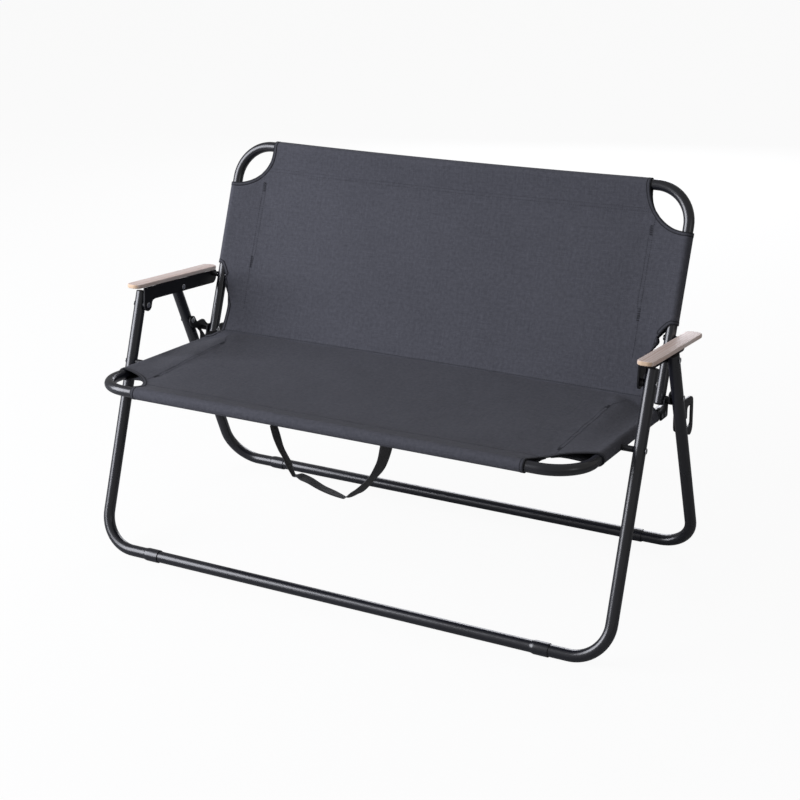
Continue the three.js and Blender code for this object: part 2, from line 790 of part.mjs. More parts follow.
function sheet(halfWidth, from, to) {
  const board = new THREE.BoxGeometry(2 * halfWidth, to - from, sheetThickness);
  return weld(board).translate(0, (from + to) / 2, 0);
}

function bothOf(geometry) {
  return [geometry, mirrored(geometry)];
}

function tubeRoom(radius, length, y) {
  return rod((radius + fitGap) / sideShare, length).translate(-length / 2, y, 0);
}

function sideRoom(from, to) {
  const length = to - from + 2 * overrun;
  return rod((seatRadius + fitGap) / sideShare, length).rotateZ(Math.PI / 2).translate(seatSide, from - overrun, 0);
}

const creaseHalfWidth = seatSide - creaseInset;
const seatSleeveRear = hingePin.x - seatSleeveLead;
const creaseDepth = hingePin.x - hingePin.y * Math.tan(backLean - seatTilt);
const seatSheetRear = creaseDepth - seatCreaseGap;
const seatSling = cut(
  join(
    sheet(creaseHalfWidth, -seatFront, seatSheetRear),
    crossHem(sleeveReach).translate(0, -seatFront, 0),
    ...bothOf(sideHem(-seatFront, seatSleeveRear)),
  ),
  ...bothOf(disc(seatCornerCut, seatSide, -seatFront)),
  ...bothOf(disc(seatNotch, seatSide + seatNotchOut, seatSleeveRear + seatNotchRear)),
  tubeRoom(seatRadius, seatSpan, -seatFront),
  ...bothOf(tubeRoom(socketRadius(seatRadius), seatJoint, -seatFront).translate(seatMouth - seatJoint / 2, 0, 0)),
  ...bothOf(sideRoom(-seatFront, seatSleeveRear)),
  ...bothOf(drill(pinClearance, 2 * sleeveRadius + 2 * headHeight, 0, 0).translate(seatSide, 0, 0)),
);
addPiece(seatFrame, 'seat_sling', seatSling, fabric);

// The back sling is drawn lying flat, as the seat is, and then stood up: its Y is the height on the back
const backSheetFoot = seatPinBack.y - backSheetDrop;
const notchTop = armPinBack.y + backNotchAbove;
const notchFoot = seatPinBack.y - backNotchBelow;
const notchHeight = (notchTop + notchFoot) / 2;
const backNotch = Math.hypot((notchTop - notchFoot) / 2, backNotchOut);
const backSling = cut(
  join(
    sheet(creaseHalfWidth, backSheetFoot, backTop),
    crossHem(topSleeveReach).rotateZ(Math.PI).translate(0, backTop, 0),
    ...bothOf(sideHem(notchHeight, backTop)),
  ),
  ...bothOf(disc(backCornerCut, seatSide, backTop)),
  ...bothOf(disc(backNotch, seatSide + backNotchOut, notchHeight)),
  tubeRoom(seatRadius, seatSpan, backTop),
  ...bothOf(tubeRoom(socketRadius(seatRadius), seatJoint, backTop).translate(backMouth - seatJoint / 2, 0, 0)),
  ...bothOf(sideRoom(seatPinBack.y, backTop)),
);
addPiece(backFrame, 'back_sling', backSling.rotateX(Math.PI / 2), fabric);

// Carry strap: flat webbing that hangs in a slack loop from the front hem
function strapStations() {
  const half = (strapRight - strapLeft) / 2;
  const middle = (strapRight + strapLeft) / 2;
  const stations = [];
  for (let i = 0; i <= strapSteps; i += 1) {
    const angle = (i / strapSteps) * Math.PI;
    const reach = half * Math.cos(angle);
    const drop = strapDrop * Math.sin(angle);
    const point = new THREE.Vector3(middle - reach, 0, -drop);
    const tangent = new THREE.Vector3(half * Math.sin(angle), 0, -strapDrop * Math.cos(angle)).normalize();
    stations.push({ point, tangent });
  }
  return stations;
}

function strap() {
  const half = strapWidth / 2;
  const thick = strapThickness / 2;
  const section = new THREE.Shape();
  section.moveTo(-half, -thick);
  section.lineTo(half, -thick);
  section.lineTo(half, thick);
  section.lineTo(-half, thick);
  section.closePath();
  return sweep(strapStations(), section, 1);
}

const strapSeat = new THREE.Vector3(0, -seatFront, -sleeveRadius - fitGap);
addPiece(seatFrame, 'carry_strap', strap().rotateX(seatTilt), webbing, strapSeat);

// The chair, set on the floor and centred
const chair = new THREE.Group();
chair.add(frontFrame, rearFrame, seatFrame, backFrame, arms.left, arms.right, locks.left, locks.right);
const box = new THREE.Box3().setFromObject(chair, true);
chair.position.set(0, -(box.min.y + box.max.y) / 2, -box.min.z);

export default chair;
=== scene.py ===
import json
import math

import bmesh
import bpy
from mathutils import Matrix, Vector, noise
from mathutils.geometry import delaunay_2d_cdt


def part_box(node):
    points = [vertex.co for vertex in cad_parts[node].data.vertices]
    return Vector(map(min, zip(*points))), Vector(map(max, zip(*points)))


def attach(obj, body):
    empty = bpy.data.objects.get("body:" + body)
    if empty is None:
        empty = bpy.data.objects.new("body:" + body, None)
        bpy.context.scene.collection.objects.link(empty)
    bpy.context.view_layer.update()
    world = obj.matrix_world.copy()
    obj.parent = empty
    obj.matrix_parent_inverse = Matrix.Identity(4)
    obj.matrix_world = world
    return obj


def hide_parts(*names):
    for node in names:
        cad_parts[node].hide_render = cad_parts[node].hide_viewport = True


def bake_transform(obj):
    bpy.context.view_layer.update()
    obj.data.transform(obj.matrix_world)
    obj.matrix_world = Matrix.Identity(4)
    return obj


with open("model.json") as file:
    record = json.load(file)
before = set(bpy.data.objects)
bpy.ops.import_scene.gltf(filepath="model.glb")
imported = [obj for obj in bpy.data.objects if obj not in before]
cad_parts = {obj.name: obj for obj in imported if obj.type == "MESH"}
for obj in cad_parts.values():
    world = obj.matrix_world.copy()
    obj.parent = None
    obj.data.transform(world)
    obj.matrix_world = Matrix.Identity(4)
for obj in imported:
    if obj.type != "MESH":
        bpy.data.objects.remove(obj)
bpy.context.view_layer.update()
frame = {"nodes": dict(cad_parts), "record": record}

MM = 0.001
BODY = {name: body for body, names in frame["record"]["behaviour"]["bodies"].items() for name in names}

# Camera, solved from the photograph. Angles are in degrees, its place in metres, sensor and lens in mm
TURN, DIP, ROLL = (math.radians(angle) for angle in (28.62, 22.78, -2.08))
CAMERA_PLACE = (1.3561, -2.459833, 1.493147)
SENSOR_WIDTH, FOCAL_LENGTH = 36, 72.18


def make_camera():
    forward = Vector((-math.sin(TURN) * math.cos(DIP), math.cos(TURN) * math.cos(DIP), -math.sin(DIP)))
    right = Vector((math.cos(TURN), math.sin(TURN), 0))
    up = right.cross(forward)
    across = right * math.cos(ROLL) + up * math.sin(ROLL)
    upright = up * math.cos(ROLL) - right * math.sin(ROLL)
    camera = bpy.data.objects.new("camera", bpy.data.cameras.new("camera"))
    camera.data.sensor_width, camera.data.lens = SENSOR_WIDTH, FOCAL_LENGTH
    axes = Matrix((across, upright, -forward)).transposed().to_4x4()
    camera.matrix_world = Matrix.Translation(CAMERA_PLACE) @ axes
    bpy.context.scene.collection.objects.link(camera)
    bpy.context.scene.camera = camera


make_camera()


# Materials
def material(name, colour, roughness, metallic=0.0, **settings):
    made = bpy.data.materials.new(name)
    made.use_nodes = True
    shader = made.node_tree.nodes["Principled BSDF"]
    shader.inputs["Base Color"].default_value = (*colour, 1)
    shader.inputs["Roughness"].default_value = roughness
    shader.inputs["Metallic"].default_value = metallic
    for key, value in settings.items():
        shader.inputs[key.replace("_", " ")].default_value = value
    return made


def node(mat, kind, inputs=(), **settings):
    made = mat.node_tree.nodes.new(kind)
    for key, value in settings.items():
        setattr(made, key, value)
    for key, value in dict(inputs).items():
        if isinstance(value, bpy.types.NodeSocket):
            mat.node_tree.links.new(value, made.inputs[key])
        else:
            made.inputs[key].default_value = value
    return made


def maths(mat, operation, *values):
    return node(mat, "ShaderNodeMath", dict(enumerate(values)), operation=operation).outputs[0]


def times(mat, a, b):
    return maths(mat, "MULTIPLY", a, b)


def plus(mat, a, b):
    return maths(mat, "ADD", a, b)


def own_place(mat):
    return node(mat, "ShaderNodeTexCoord").outputs["Object"]


def stretched(mat, where, scale):
    return node(mat, "ShaderNodeMapping", {"Vector": where, "Scale": scale}).outputs[0]


def cloud(mat, where, scale, detail=3.0, rough=0.5):
    """Noise, with its scale in cells per metre."""
    inputs = {"Vector": where, "Scale": scale, "Detail": detail, "Roughness": rough}
    return node(mat, "ShaderNodeTexNoise", inputs).outputs["Fac"]


def ramp(mat, fac, *stops):
    made = node(mat, "ShaderNodeValToRGB", {"Fac": fac})
    elements = made.color_ramp.elements
    while len(elements) < len(stops):
        elements.new(0.5)
    for element, (position, colour) in zip(elements, stops):
        element.position = position
        element.color = (*colour, 1) if hasattr(colour, "__len__") else (colour, colour, colour, 1)
    return made.outputs["Color"]


def mixed(mat, fac, a, b, blend="MIX"):
    made = node(mat, "ShaderNodeMix", data_type="RGBA", blend_type=blend)
    for socket, value in ((made.inputs[0], fac), (made.inputs[6], a), (made.inputs[7], b)):
        if isinstance(value, bpy.types.NodeSocket):
            mat.node_tree.links.new(value, socket)
        else:
            socket.default_value = (*value, 1) if hasattr(value, "__len__") else value
    return made.outputs[2]


def connect(mat, key, value):
    mat.node_tree.links.new(value, mat.node_tree.nodes["Principled BSDF"].inputs[key])


def bump(mat, height, strength, distance):
    connect(mat, "Normal", node(mat, "ShaderNodeBump", {
        "Height": height, "Strength": strength, "Distance": distance}).outputs[0])


def coated(name, colour, worn, roughness, shine):
    """Paint that is a little paler in broad patches and in small marks."""
    mat = material(name, colour, roughness, 0.0, Specular_IOR_Level=shine)
    where = own_place(mat)
    broad = cloud(mat, where, 9, 4, 0.6)
    marks = ramp(mat, cloud(mat, where, 140, 5, 0.7), (0.62, 0.0), (0.78, 1.0))
    rubbed = mixed(mat, ramp(mat, broad, (0.3, 0.0), (0.8, 0.55)), colour, worn)
    connect(mat, "Base Color", mixed(mat, times(mat, marks, 0.35), rubbed, [2.2 * c for c in worn]))
    limits = {"To Min": roughness - 0.04, "To Max": roughness + 0.06}
    connect(mat, "Roughness", node(mat, "ShaderNodeMapRange", {"Value": broad, **limits}).outputs[0])
    bump(mat, cloud(mat, where, 620, 2, 0.5), 0.09, 0.00012)
    return mat


def steel():
    mat = material("bright_steel", (0.6, 0.61, 0.63), 0.26, 1.0)
    where = own_place(mat)
    shades = (0.3, (0.47, 0.48, 0.5)), (0.7, (0.66, 0.67, 0.69))
    connect(mat, "Base Color", ramp(mat, cloud(mat, where, 300, 4), *shades))
    connect(mat, "Roughness", ramp(mat, cloud(mat, where, 900, 3), (0.2, 0.2), (0.8, 0.38)))
    bump(mat, cloud(mat, where, 1500, 2), 0.12, 0.00008)
    return mat


def plastic():
    mat = material("moulded_plastic", (0.016, 0.016, 0.018), 0.5)
    where = own_place(mat)
    shades = (0.3, (0.013, 0.013, 0.015)), (0.7, (0.021, 0.021, 0.024))
    connect(mat, "Base Color", ramp(mat, cloud(mat, where, 60), *shades))
    bump(mat, cloud(mat, where, 1600, 2), 0.3, 0.0001)
    return mat


def cloth_plane(mat):
    """The cloth's own UV, which is in metres, and its two parts."""
    where = node(mat, "ShaderNodeUVMap").outputs[0]
    parts = node(mat, "ShaderNodeSeparateXYZ", {"Vector": where}).outputs
    return where, parts[0], parts[1]


def ridges(mat, part, pitch):
    return maths(mat, "ABSOLUTE", maths(mat, "SINE", times(mat, part, math.pi / pitch)))


def woven(name, dark, light, pitch, sheen, tape_round=0):
    """A plain weave of uneven yarns, with painted shade where the weave is low, between the yarns. A tape, given by
    the length round it, has painted shade in dark bands round its fold and along its inner edge.
    """
    mat = material(name, dark, 0.86, 0.0, Specular_IOR_Level=0.3, Sheen_Weight=sheen, Sheen_Roughness=0.45)
    where, u, v = cloth_plane(mat)
    check = node(mat, "ShaderNodeTexChecker", {"Vector": where, "Scale": 1 / pitch}).outputs["Fac"]
    waves = {0: check, 2: ridges(mat, u, pitch), 3: ridges(mat, v, pitch)}
    level = node(mat, "ShaderNodeMix", waves, data_type="FLOAT").outputs[0]
    yarn = plus(mat, *(cloud(mat, stretched(mat, where, scale), 1, 2)
                               for scale in ((1400, 22, 1), (22, 1400, 1))))
    cast = cloud(mat, where, 6, 3, 0.5)
    mottle = cloud(mat, where, 150, 4, 0.7)
    tone = plus(mat, times(mat, yarn, 0.36), times(mat, cast, 0.18))
    tone = plus(mat, tone, times(mat, mottle, 0.62))
    yarns = ramp(mat, tone, (0.455, dark), (0.98, light))
    # Painted shade: where the weave is low, between the yarns, the colour goes towards 0.45 of the dark colour
    painted_gap_shade = times(mat, maths(mat, "SUBTRACT", 1.0, level), 0.5)
    shaded = mixed(mat, painted_gap_shade, yarns, [0.45 * c for c in dark])
    if tape_round:
        # Painted shade: dark bands round the tape's fold and along its inner edge, at 0.2 of the dark colour
        painted_edge_shade = ramp(mat, times(mat, u, 1 / tape_round), (0.17, 0.75), (0.22, 0.0), (0.45, 0.0),
                     (0.5, 0.75), (0.68, 0.75), (0.73, 0.0), (0.86, 0.0), (0.9, 0.75))
        shaded = mixed(mat, painted_edge_shade, shaded, [0.2 * c for c in dark])
    connect(mat, "Base Color", shaded)
    bump(mat, level, 0.45, 0.00022)
    return mat


def ribbed():
    """Webbing with ribs across it and a chevron twill."""
    mat = material("black_webbing", (0.014, 0.014, 0.016), 0.8, 0.0, Specular_IOR_Level=0.3, Sheen_Weight=0.12)
    _, u, v = cloth_plane(mat)
    chevron = plus(mat, v, maths(mat, "PINGPONG", u, 0.0028))
    slant = maths(mat, "SINE", times(mat, chevron, 2 * math.pi / 0.0012))
    rib = times(mat, ridges(mat, v, 0.0016), 0.6)
    level = plus(mat, rib, times(mat, slant, 0.25))
    connect(mat, "Base Color", ramp(mat, level, (0.1, (0.03, 0.03, 0.032)), (0.9, (0.12, 0.118, 0.12))))
    bump(mat, level, 0.7, 0.0003)
    return mat


def sawn_wood():
    """Pale wood with its grain along Y and darker end grain."""
    mat = material("pale_wood", (0.45, 0.31, 0.24), 0.52, 0.0, Specular_IOR_Level=0.4)
    where = own_place(mat)
    swirl = cloud(mat, stretched(mat, where, (95, 4.2, 95)), 1.0, 5, 0.62)
    rings = node(mat, "ShaderNodeTexWave", {
        "Vector": stretched(mat, where, (1, 0.035, 1)), "Scale": 62, "Distortion": 5.5,
        "Detail": 3, "Detail Scale": 1.6}, bands_direction="X").outputs["Fac"]
    pores = ramp(mat, cloud(mat, stretched(mat, where, (900, 34, 900)), 1.0, 3, 0.6), (0.56, 0.0), (0.7, 1.0))
    figure = plus(mat, times(mat, swirl, 0.65), times(mat, rings, 0.35))
    board = ramp(mat, figure, (0.25, (0.82, 0.6, 0.5)), (0.5, (0.96, 0.79, 0.73)), (0.78, (0.99, 0.9, 0.86)))
    normal = node(mat, "ShaderNodeTexCoord").outputs["Normal"]
    facing = maths(mat, "ABSOLUTE", node(mat, "ShaderNodeSeparateXYZ", {"Vector": normal}).outputs[1])
    board = mixed(mat, ramp(mat, facing, (0.45, 0.0), (0.85, 1.0)), board, (0.93, 0.68, 0.47))
    connect(mat, "Base Color", mixed(mat, times(mat, pores, 0.3), board, (0.45, 0.26, 0.17)))
    connect(mat, "Roughness", ramp(mat, swirl, (0.3, 0.46), (0.7, 0.6)))
    bump(mat, maths(mat, "SUBTRACT", figure, times(mat, pores, 0.4)), 0.25, 0.00025)
    return mat


MATERIALS = {
    "tube_paint": coated("satin_black_coat", (0.009, 0.0095, 0.015), (0.014, 0.015, 0.023), 0.27, 0.95),
    "plate_paint": coated("matte_black_coat", (0.008, 0.008, 0.011), (0.014, 0.014, 0.018), 0.45, 0.4),
    "bare_steel": steel(),
    "plug_plastic": plastic(),
    "sling_fabric": woven("charcoal_weave", (0.055, 0.0565, 0.07), (0.135, 0.137, 0.165), 0.0009, 0.06),
    "webbing": ribbed(),
    "slat_wood": sawn_wood(),
    "binding": woven("binding_tape", (0.047, 0.048, 0.059), (0.1, 0.102, 0.122), 0.0008, 0.05, 0.0195),
    "thread": woven("sewing_thread", (0.036, 0.037, 0.045), (0.075, 0.077, 0.092), 0.0005, 0.05),
}


# Making pieces
class Place:
    """Where a body's own frame is: its origin in the side view, in mm, and its lean."""

    def __init__(self, y, z, lean):
        self.matrix = Matrix.Translation((0, y * MM, z * MM)) @ Matrix.Rotation(math.radians(lean), 4, "X")
        self.back = self.matrix.inverted()

    def point(self, x, y, z):
        return self.matrix @ (Vector((x, y, z)) * MM)

    def local(self, point):
        return (self.back @ point) / MM


# The same frames as the solids have
FRONT = Place(-251.143, 12.805, -23.1)
REAR = Place(215.362, 12.805, 19.5)
SEAT = Place(-106.763, 351.2995, -6.5)
BACK = Place(127.8823, 369.4214, -24.4)
ARMS = Place(-62.0365, 456.1592, -8.5)
WORLD = Place(0, 0, 0)


def finish_mesh(bm, sharp=38):
    bmesh.ops.recalc_face_normals(bm, faces=bm.faces)
    for face in bm.faces:
        face.smooth = True
    for edge in bm.edges:
        if len(edge.link_faces) == 2 and edge.calc_face_angle(0) > math.radians(sharp):
            edge.smooth = False


def add_object(name, bm, slot, place=WORLD, look=None):
    mesh = bpy.data.meshes.new(name)
    bm.to_mesh(mesh)
    bm.free()
    made = bpy.data.objects.new(name, mesh)
    bpy.context.scene.collection.objects.link(made)
    made.matrix_world = place.matrix
    mesh.materials.append(MATERIALS[look or slot])
    return made


def loft(bm, rings, capped=True):
    """Faces between closed rings of points, with a UV in metres round and along them."""
    uv = bm.loops.layers.uv.verify()
    made = [[bm.verts.new(p) for p in ring] for ring in rings]
    along = 0.0
    for ring, row, above in zip(rings, made, range(1, len(rings))):
        step = (Vector(rings[above][0]) - Vector(ring[0])).length
        round_it = 0.0
        for k in range(len(ring)):
            j = (k + 1) % len(ring)
            width = (Vector(ring[j]) - Vector(ring[k])).length
            face = bm.faces.new((row[k], row[j], made[above][j], made[above][k]))
            for loop, (u, v) in zip(face.loops, ((0, 0), (width, 0), (width, step), (0, step))):
                loop[uv].uv = (round_it + u, along + v)
            round_it += width
        along += step
    if capped:
        bm.faces.new(made[0])
        bm.faces.new(made[-1])


def stand_in(replaced, ending, rings, slot, place=WORLD, sharp=38, capped=True):
    """A lofted piece that takes the place of its CAD node."""
    bm = bmesh.new()
    loft(bm, rings, capped)
    bmesh.ops.remove_doubles(bm, verts=bm.verts, dist=2e-6)
    finish_mesh(bm, sharp)
    made = add_object(f"{replaced}_{ending}", bm, slot, place)
    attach(made, BODY[replaced])
    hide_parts(replaced)


def circle(centre, side, other, radius, count, shape=None):
    """Points round a centre, in the plane of two directions. A shape can change the radius by the angle."""
    made = []
    for a in (2 * math.pi * k / count for k in range(count)):
        reach = shape(radius, a) if shape else max(radius, 0.001)
        made.append((centre + (side * math.cos(a) + other * math.sin(a)) * reach) * MM)
    return made


# Tubes, in mm. A path is drawn in its body's own plane and gives the spot and the way ahead at each distance
WALL, INSERT, TUBE_STEP = 1.2, 24.0, 7
LEG, LEG_SIDE, LEG_BEND = 11.0, 530.0, 68.0
LEFT_MOUTH, RIGHT_MOUTH = 396.0, 427.0
RAIL, SIDE, RAIL_BEND = 10.0, 486.0, 70.0
SEAT_MOUTH, BACK_MOUTH = 393.0, 382.0
SEAT_END, BACK_END = -173.5, 366.0
BACK_BOW = 3.2
CAP_HEIGHT = 3.0


def bent_path(start, corner, end, radius):
    start, corner, end = Vector(start), Vector(corner), Vector(end)
    back, ahead = (start - corner).normalized(), (end - corner).normalized()
    first, bend = (start - corner).length - radius, radius * math.pi / 2
    centre = corner + (back + ahead) * radius

    def at(s):
        if s <= first:
            return start - back * s, -back
        if s <= first + bend:
            t = (s - first) / radius
            spot = centre - ahead * radius * math.cos(t) - back * radius * math.sin(t)
            return spot, ahead * math.sin(t) - back * math.cos(t)
        return corner + ahead * (radius + s - first - bend), ahead

    return at, first + bend + (end - corner).length - radius


def straight_path(start, end):
    start, end = Vector(start), Vector(end)
    ahead = (end - start).normalized()
    return (lambda s: (start + ahead * s, ahead)), (end - start).length


def plain_end(radius):
    """From inside the tube, round its cut end, to its outside: (distance from the end, radius)."""
    inner = radius - WALL
    return [(6, inner), (0.3, inner), (0, inner + 0.3), (0, radius - 0.35), (0.35, radius)]


def socket_end(radius):
    """A swaged mouth, which takes the next tube."""
    bore, outer = radius + 0.25, radius + 1.65
    made = [(22, bore), (0.4, bore), (0, bore + 0.35), (0, outer - 0.5), (0.5, outer), (26, outer)]
    shares = [i / 6 for i in range(1, 7)]
    return made + [(26 + 9 * share, outer - (outer - radius) * (0.5 - 0.5 * math.cos(math.pi * share)))
                   for share in shares]


def make_tube(replaced, ending, place, path, ends, warp=None):
    at, length = path
    profile = [*ends[0], *((length - s, r) for s, r in reversed(ends[1]))]
    stations = [profile[0]]
    for (s0, r0), (s1, r1) in zip(profile, profile[1:]):
        steps = max(1, math.ceil(abs(s1 - s0) / TUBE_STEP))
        stations += [(s0 + (s1 - s0) * i / steps, r0 + (r1 - r0) * i / steps) for i in range(1, steps + 1)]
    level = place is SEAT
    normal = Vector((0, 0, 1)) if level else Vector((0, 1, 0))
    rings = []
    for s, r in stations:
        centre, tangent = (Vector((v.x, v.y, 0)) if level else Vector((v.x, 0, v.y)) for v in at(s))
        if warp:
            centre = warp(centre)
        rings.append(circle(centre, tangent.cross(normal), normal, r, 36))
    stand_in(replaced, ending, rings, "tube_paint", place, capped=False)


def box_local(place, name):
    """A CAD node's low and high z, then its low and high y, in a body's own frame and in mm."""
    corners = [place.local(Vector((0, *v.co.yz))) for v in frame["nodes"][name].data.vertices]
    zs, ys = [c.z for c in corners], [c.y for c in corners]
    return min(zs), max(zs), min(ys), max(ys)


def bowed(point):
    """The top of the back hangs a little in the middle."""
    drop = BACK_BOW * max(0.0, 1 - (point.x / BACK_MOUTH) ** 2)
    return point + Vector((0, 0, -drop if point.z > 300 else 0))


for name, place in (("front", FRONT), ("rear", REAR)):
    height = box_local(place, f"{name}_leg_plug_right")[1] - CAP_HEIGHT
    for side, sign in (("right", 1), ("left", -1)):
        mouth = RIGHT_MOUTH - INSERT if sign > 0 else LEFT_MOUTH
        path = bent_path((sign * mouth, 0), (sign * LEG_SIDE, 0), (sign * LEG_SIDE, height), LEG_BEND)
        start = plain_end(LEG) if sign > 0 else socket_end(LEG)
        make_tube(f"{name}_leg_{side}", "tube", place, path, (start, plain_end(LEG)))
    path = straight_path((-LEFT_MOUTH - INSERT, 0), (RIGHT_MOUTH, 0))
    make_tube(f"{name}_cross_tube", "bar", place, path, (plain_end(LEG), socket_end(LEG)))

RAIL_ENDS = (plain_end(RAIL), plain_end(RAIL))
MOUTHS = (socket_end(RAIL), socket_end(RAIL))
seat_tail = box_local(SEAT, "seat_rail_right")[3]
back_foot = box_local(BACK, "back_upright_right")[0]
for side, sign in (("right", 1), ("left", -1)):
    x, start = sign * SIDE, sign * (SEAT_MOUTH - INSERT)
    path = bent_path((start, SEAT_END), (x, SEAT_END), (x, seat_tail), RAIL_BEND)
    make_tube(f"seat_rail_{side}", "tube", SEAT, path, RAIL_ENDS)
    start = sign * (BACK_MOUTH - INSERT)
    path = bent_path((start, BACK_END), (x, BACK_END), (x, back_foot), RAIL_BEND)
    make_tube(f"back_upright_{side}", "tube", BACK, path, RAIL_ENDS, bowed)
make_tube("seat_front_tube", "bar", SEAT, straight_path((-SEAT_MOUTH, SEAT_END), (SEAT_MOUTH, SEAT_END)), MOUTHS)
make_tube("back_top_tube", "bar", BACK, straight_path((-BACK_MOUTH, BACK_END), (BACK_MOUTH, BACK_END)), MOUTHS, bowed)


# Rivets, bolts, spacers, screws and plugs, turned on their CAD nodes' own axes
def turned(replaced, ending, profile, axis, place=WORLD, slot="bare_steel", sides=28, shape=None):
    """A profile of (distance along the axis, radius), in mm. The axis is (origin, direction, side) in the place."""
    origin, ahead, side = (Vector(v) for v in axis)
    rings = [circle(origin + ahead * s, side, ahead.cross(side), r, sides, shape) for s, r in profile]
    stand_in(replaced, ending, rings, slot, place, 32, capped=False)


def dome(radius, height, steps, first=0):
    """A quarter round from its crown to its rim."""
    angles = (math.pi / 2 * k / steps for k in range(first, steps + 1))
    return [(height * (1 - math.cos(a)), radius * math.sin(a)) for a in angles]


def along_x(name):
    """A CAD node's length and its axis, outwards from its inner end."""
    low, high = (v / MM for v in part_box(name))
    sign = 1 if low.x + high.x > 0 else -1
    start = (low.x if sign > 0 else high.x, (low.y + high.y) / 2, (low.z + high.z) / 2)
    return high.x - low.x, (start, (sign, 0, 0), (0, 1, 0))


def pin(name, radius, inner, outer, height):
    """A rivet or bolt with a head at each end."""
    length, axis = along_x(name)
    heads = [dome(head, height - 0.3, 7) + [(height, head - 0.05)] for head in (inner, outer)]
    profile = heads[0] + [(height, radius), (length - height, radius)]
    turned(name, "turned", profile + [(length - s, r) for s, r in reversed(heads[1])], axis)


def sleeve(name, radius, bore=2.9):
    length, axis = along_x(name)
    half = [(0.3, bore), (0, bore + 0.3), (0, radius - 0.5), (0.5, radius)]
    profile = half + [(length - s, r) for s, r in reversed(half)] + half[:1]
    turned(name, "turned", profile, axis, slot="plate_paint")


def plug(name, profile, axis, place):
    turned(name, "cap", profile, axis, place, "plug_plastic", 36)


def plug_profile(radius):
    """A domed cap that sits on the tube's end, then its shank in the tube."""
    rim = [(2.75, radius), (CAP_HEIGHT, radius - 0.3), (CAP_HEIGHT, radius - 1.5)]
    return dome(radius, 2.4, 8) + rim + [(11, radius - 1.6), (11, 0)]


def hex_socket(radius, angle):
    """Below KEY the ring is a hexagon, so that the recess takes a key."""
    if radius > KEY:
        return radius
    part = (angle + math.pi / 6) % (math.pi / 3) - math.pi / 6
    return max(radius, 0.001) * math.cos(math.pi / 6) / math.cos(part)


def slat_screw(name, x):
    """A button head with a recess, on a plain shank."""
    low_z, high_z, low_y, high_y = box_local(ARMS, name)
    length = high_z - low_z
    recess = [(1.3, 0), (1.3, 1.55), (0.1, 1.65), (0.05, 1.75)]
    profile = recess + dome(3.8, 2.0, 8, 3) + [(2.0, 1.8), (length, 1.8), (length, 0)]
    axis = ((x, (low_y + high_y) / 2, low_z), (0, 0, 1), (1, 0, 0))
    turned(name, "turned", profile, axis, ARMS, sides=24, shape=hex_socket)


KEY = 1.7
RIVET = (2.8, 5.4, 5.4, 1.6)
SMALL_RIVET = (2.0, 4.2, 4.2, 1.4)
PINS = {"arm_pivot_rivet": RIVET, "seat_pivot_rivet": RIVET, "rear_leg_rivet": RIVET, "lock_rivet": RIVET,
        "arm_back_bolt": RIVET, "seat_back_bolt": (2.8, 5.4, 7.0, 1.6),
        "hinge_rivet_front": SMALL_RIVET, "hinge_rivet_rear": SMALL_RIVET}
SPACERS = {"seat_pivot_spacer": 5.4, "arm_back_spacer": 5.4, "seat_back_spacer": 5.0}
SHORT_SHANK = 4.4
for side, sign in (("left", -1), ("right", 1)):
    for name, sizes in PINS.items():
        pin(f"{name}_{side}", *sizes)
    for name, radius in SPACERS.items():
        sleeve(f"{name}_{side}", radius)
    for place, name in ((FRONT, f"front_leg_plug_{side}"), (REAR, f"rear_leg_plug_{side}")):
        top = box_local(place, name)[1]
        plug(name, plug_profile(LEG), ((sign * LEG_SIDE, 0, top), (0, 0, -1), (1, 0, 0)), place)
    profile = plug_profile(RAIL)
    tail = box_local(SEAT, f"seat_rail_plug_{side}")[3]
    plug(f"seat_rail_plug_{side}", profile, ((sign * SIDE, tail, 0), (0, -1, 0), (1, 0, 0)), SEAT)
    foot = box_local(BACK, f"back_upright_plug_{side}")[0]
    profile = profile[:-2] + [(SHORT_SHANK, RAIL - 1.6), (SHORT_SHANK, 0)]
    plug(f"back_upright_plug_{side}", profile, ((sign * SIDE, 0, foot), (0, 0, 1), (1, 0, 0)), BACK)
    for spot in ("front", "rear"):
        slat_screw(f"slat_screw_{spot}_{side}", sign * (LEG_SIDE - 1))


# Plates keep their CAD shape, with eased edges
for name in ("arm_bracket", "lock_plate", "seat_hinge_plate"):
    for side in ("left", "right"):
        plate = frame["nodes"][f"{name}_{side}"]
        plate.data.materials.clear()
        plate.data.materials.append(MATERIALS["plate_paint"])
        plate.modifiers.new("weld", "WELD").merge_threshold = 1e-5
        ease = plate.modifiers.new("ease", "BEVEL")
        ease.width, ease.segments, ease.limit_method, ease.angle_limit = 0.0005, 2, "ANGLE", math.radians(50)
        ease.harden_normals = False


# Armrest slats, with rounded ends and eased edges
SLAT_MIDDLE, SLAT_HALF, SLAT_CORNER, SLAT_EASE = 526.6, 15.8, 13.0, 1.9


def make_slat(side, sign):
    low_z, high_z, low_y, high_y = box_local(ARMS, f"armrest_slat_{side}")

    def outline(z, inset):
        points = []
        for cx, cy, start in ((1, 1, 0), (-1, 1, 90), (-1, -1, 180), (1, -1, 270)):
            r = SLAT_CORNER - inset
            x = sign * SLAT_MIDDLE + cx * (SLAT_HALF - SLAT_CORNER)
            y = (high_y - SLAT_CORNER) if cy > 0 else (low_y + SLAT_CORNER)
            for a in (math.radians(start + 9 * k) for k in range(11)):
                points.append(((x + r * math.cos(a)) * MM, (y + r * math.sin(a)) * MM, z * MM))
        return points

    turns = [(SLAT_EASE * (1 - math.sin(a)), SLAT_EASE * (1 - math.cos(a)))
             for a in (math.pi / 2 * k / 5 for k in range(6))]
    rings = [outline(low_z + up, inset) for up, inset in reversed(turns)]
    rings += [outline(high_z - down, inset) for down, inset in turns]
    stand_in(f"armrest_slat_{side}", "board", rings, "slat_wood", ARMS, 50)


make_slat("left", -1)
make_slat("right", 1)


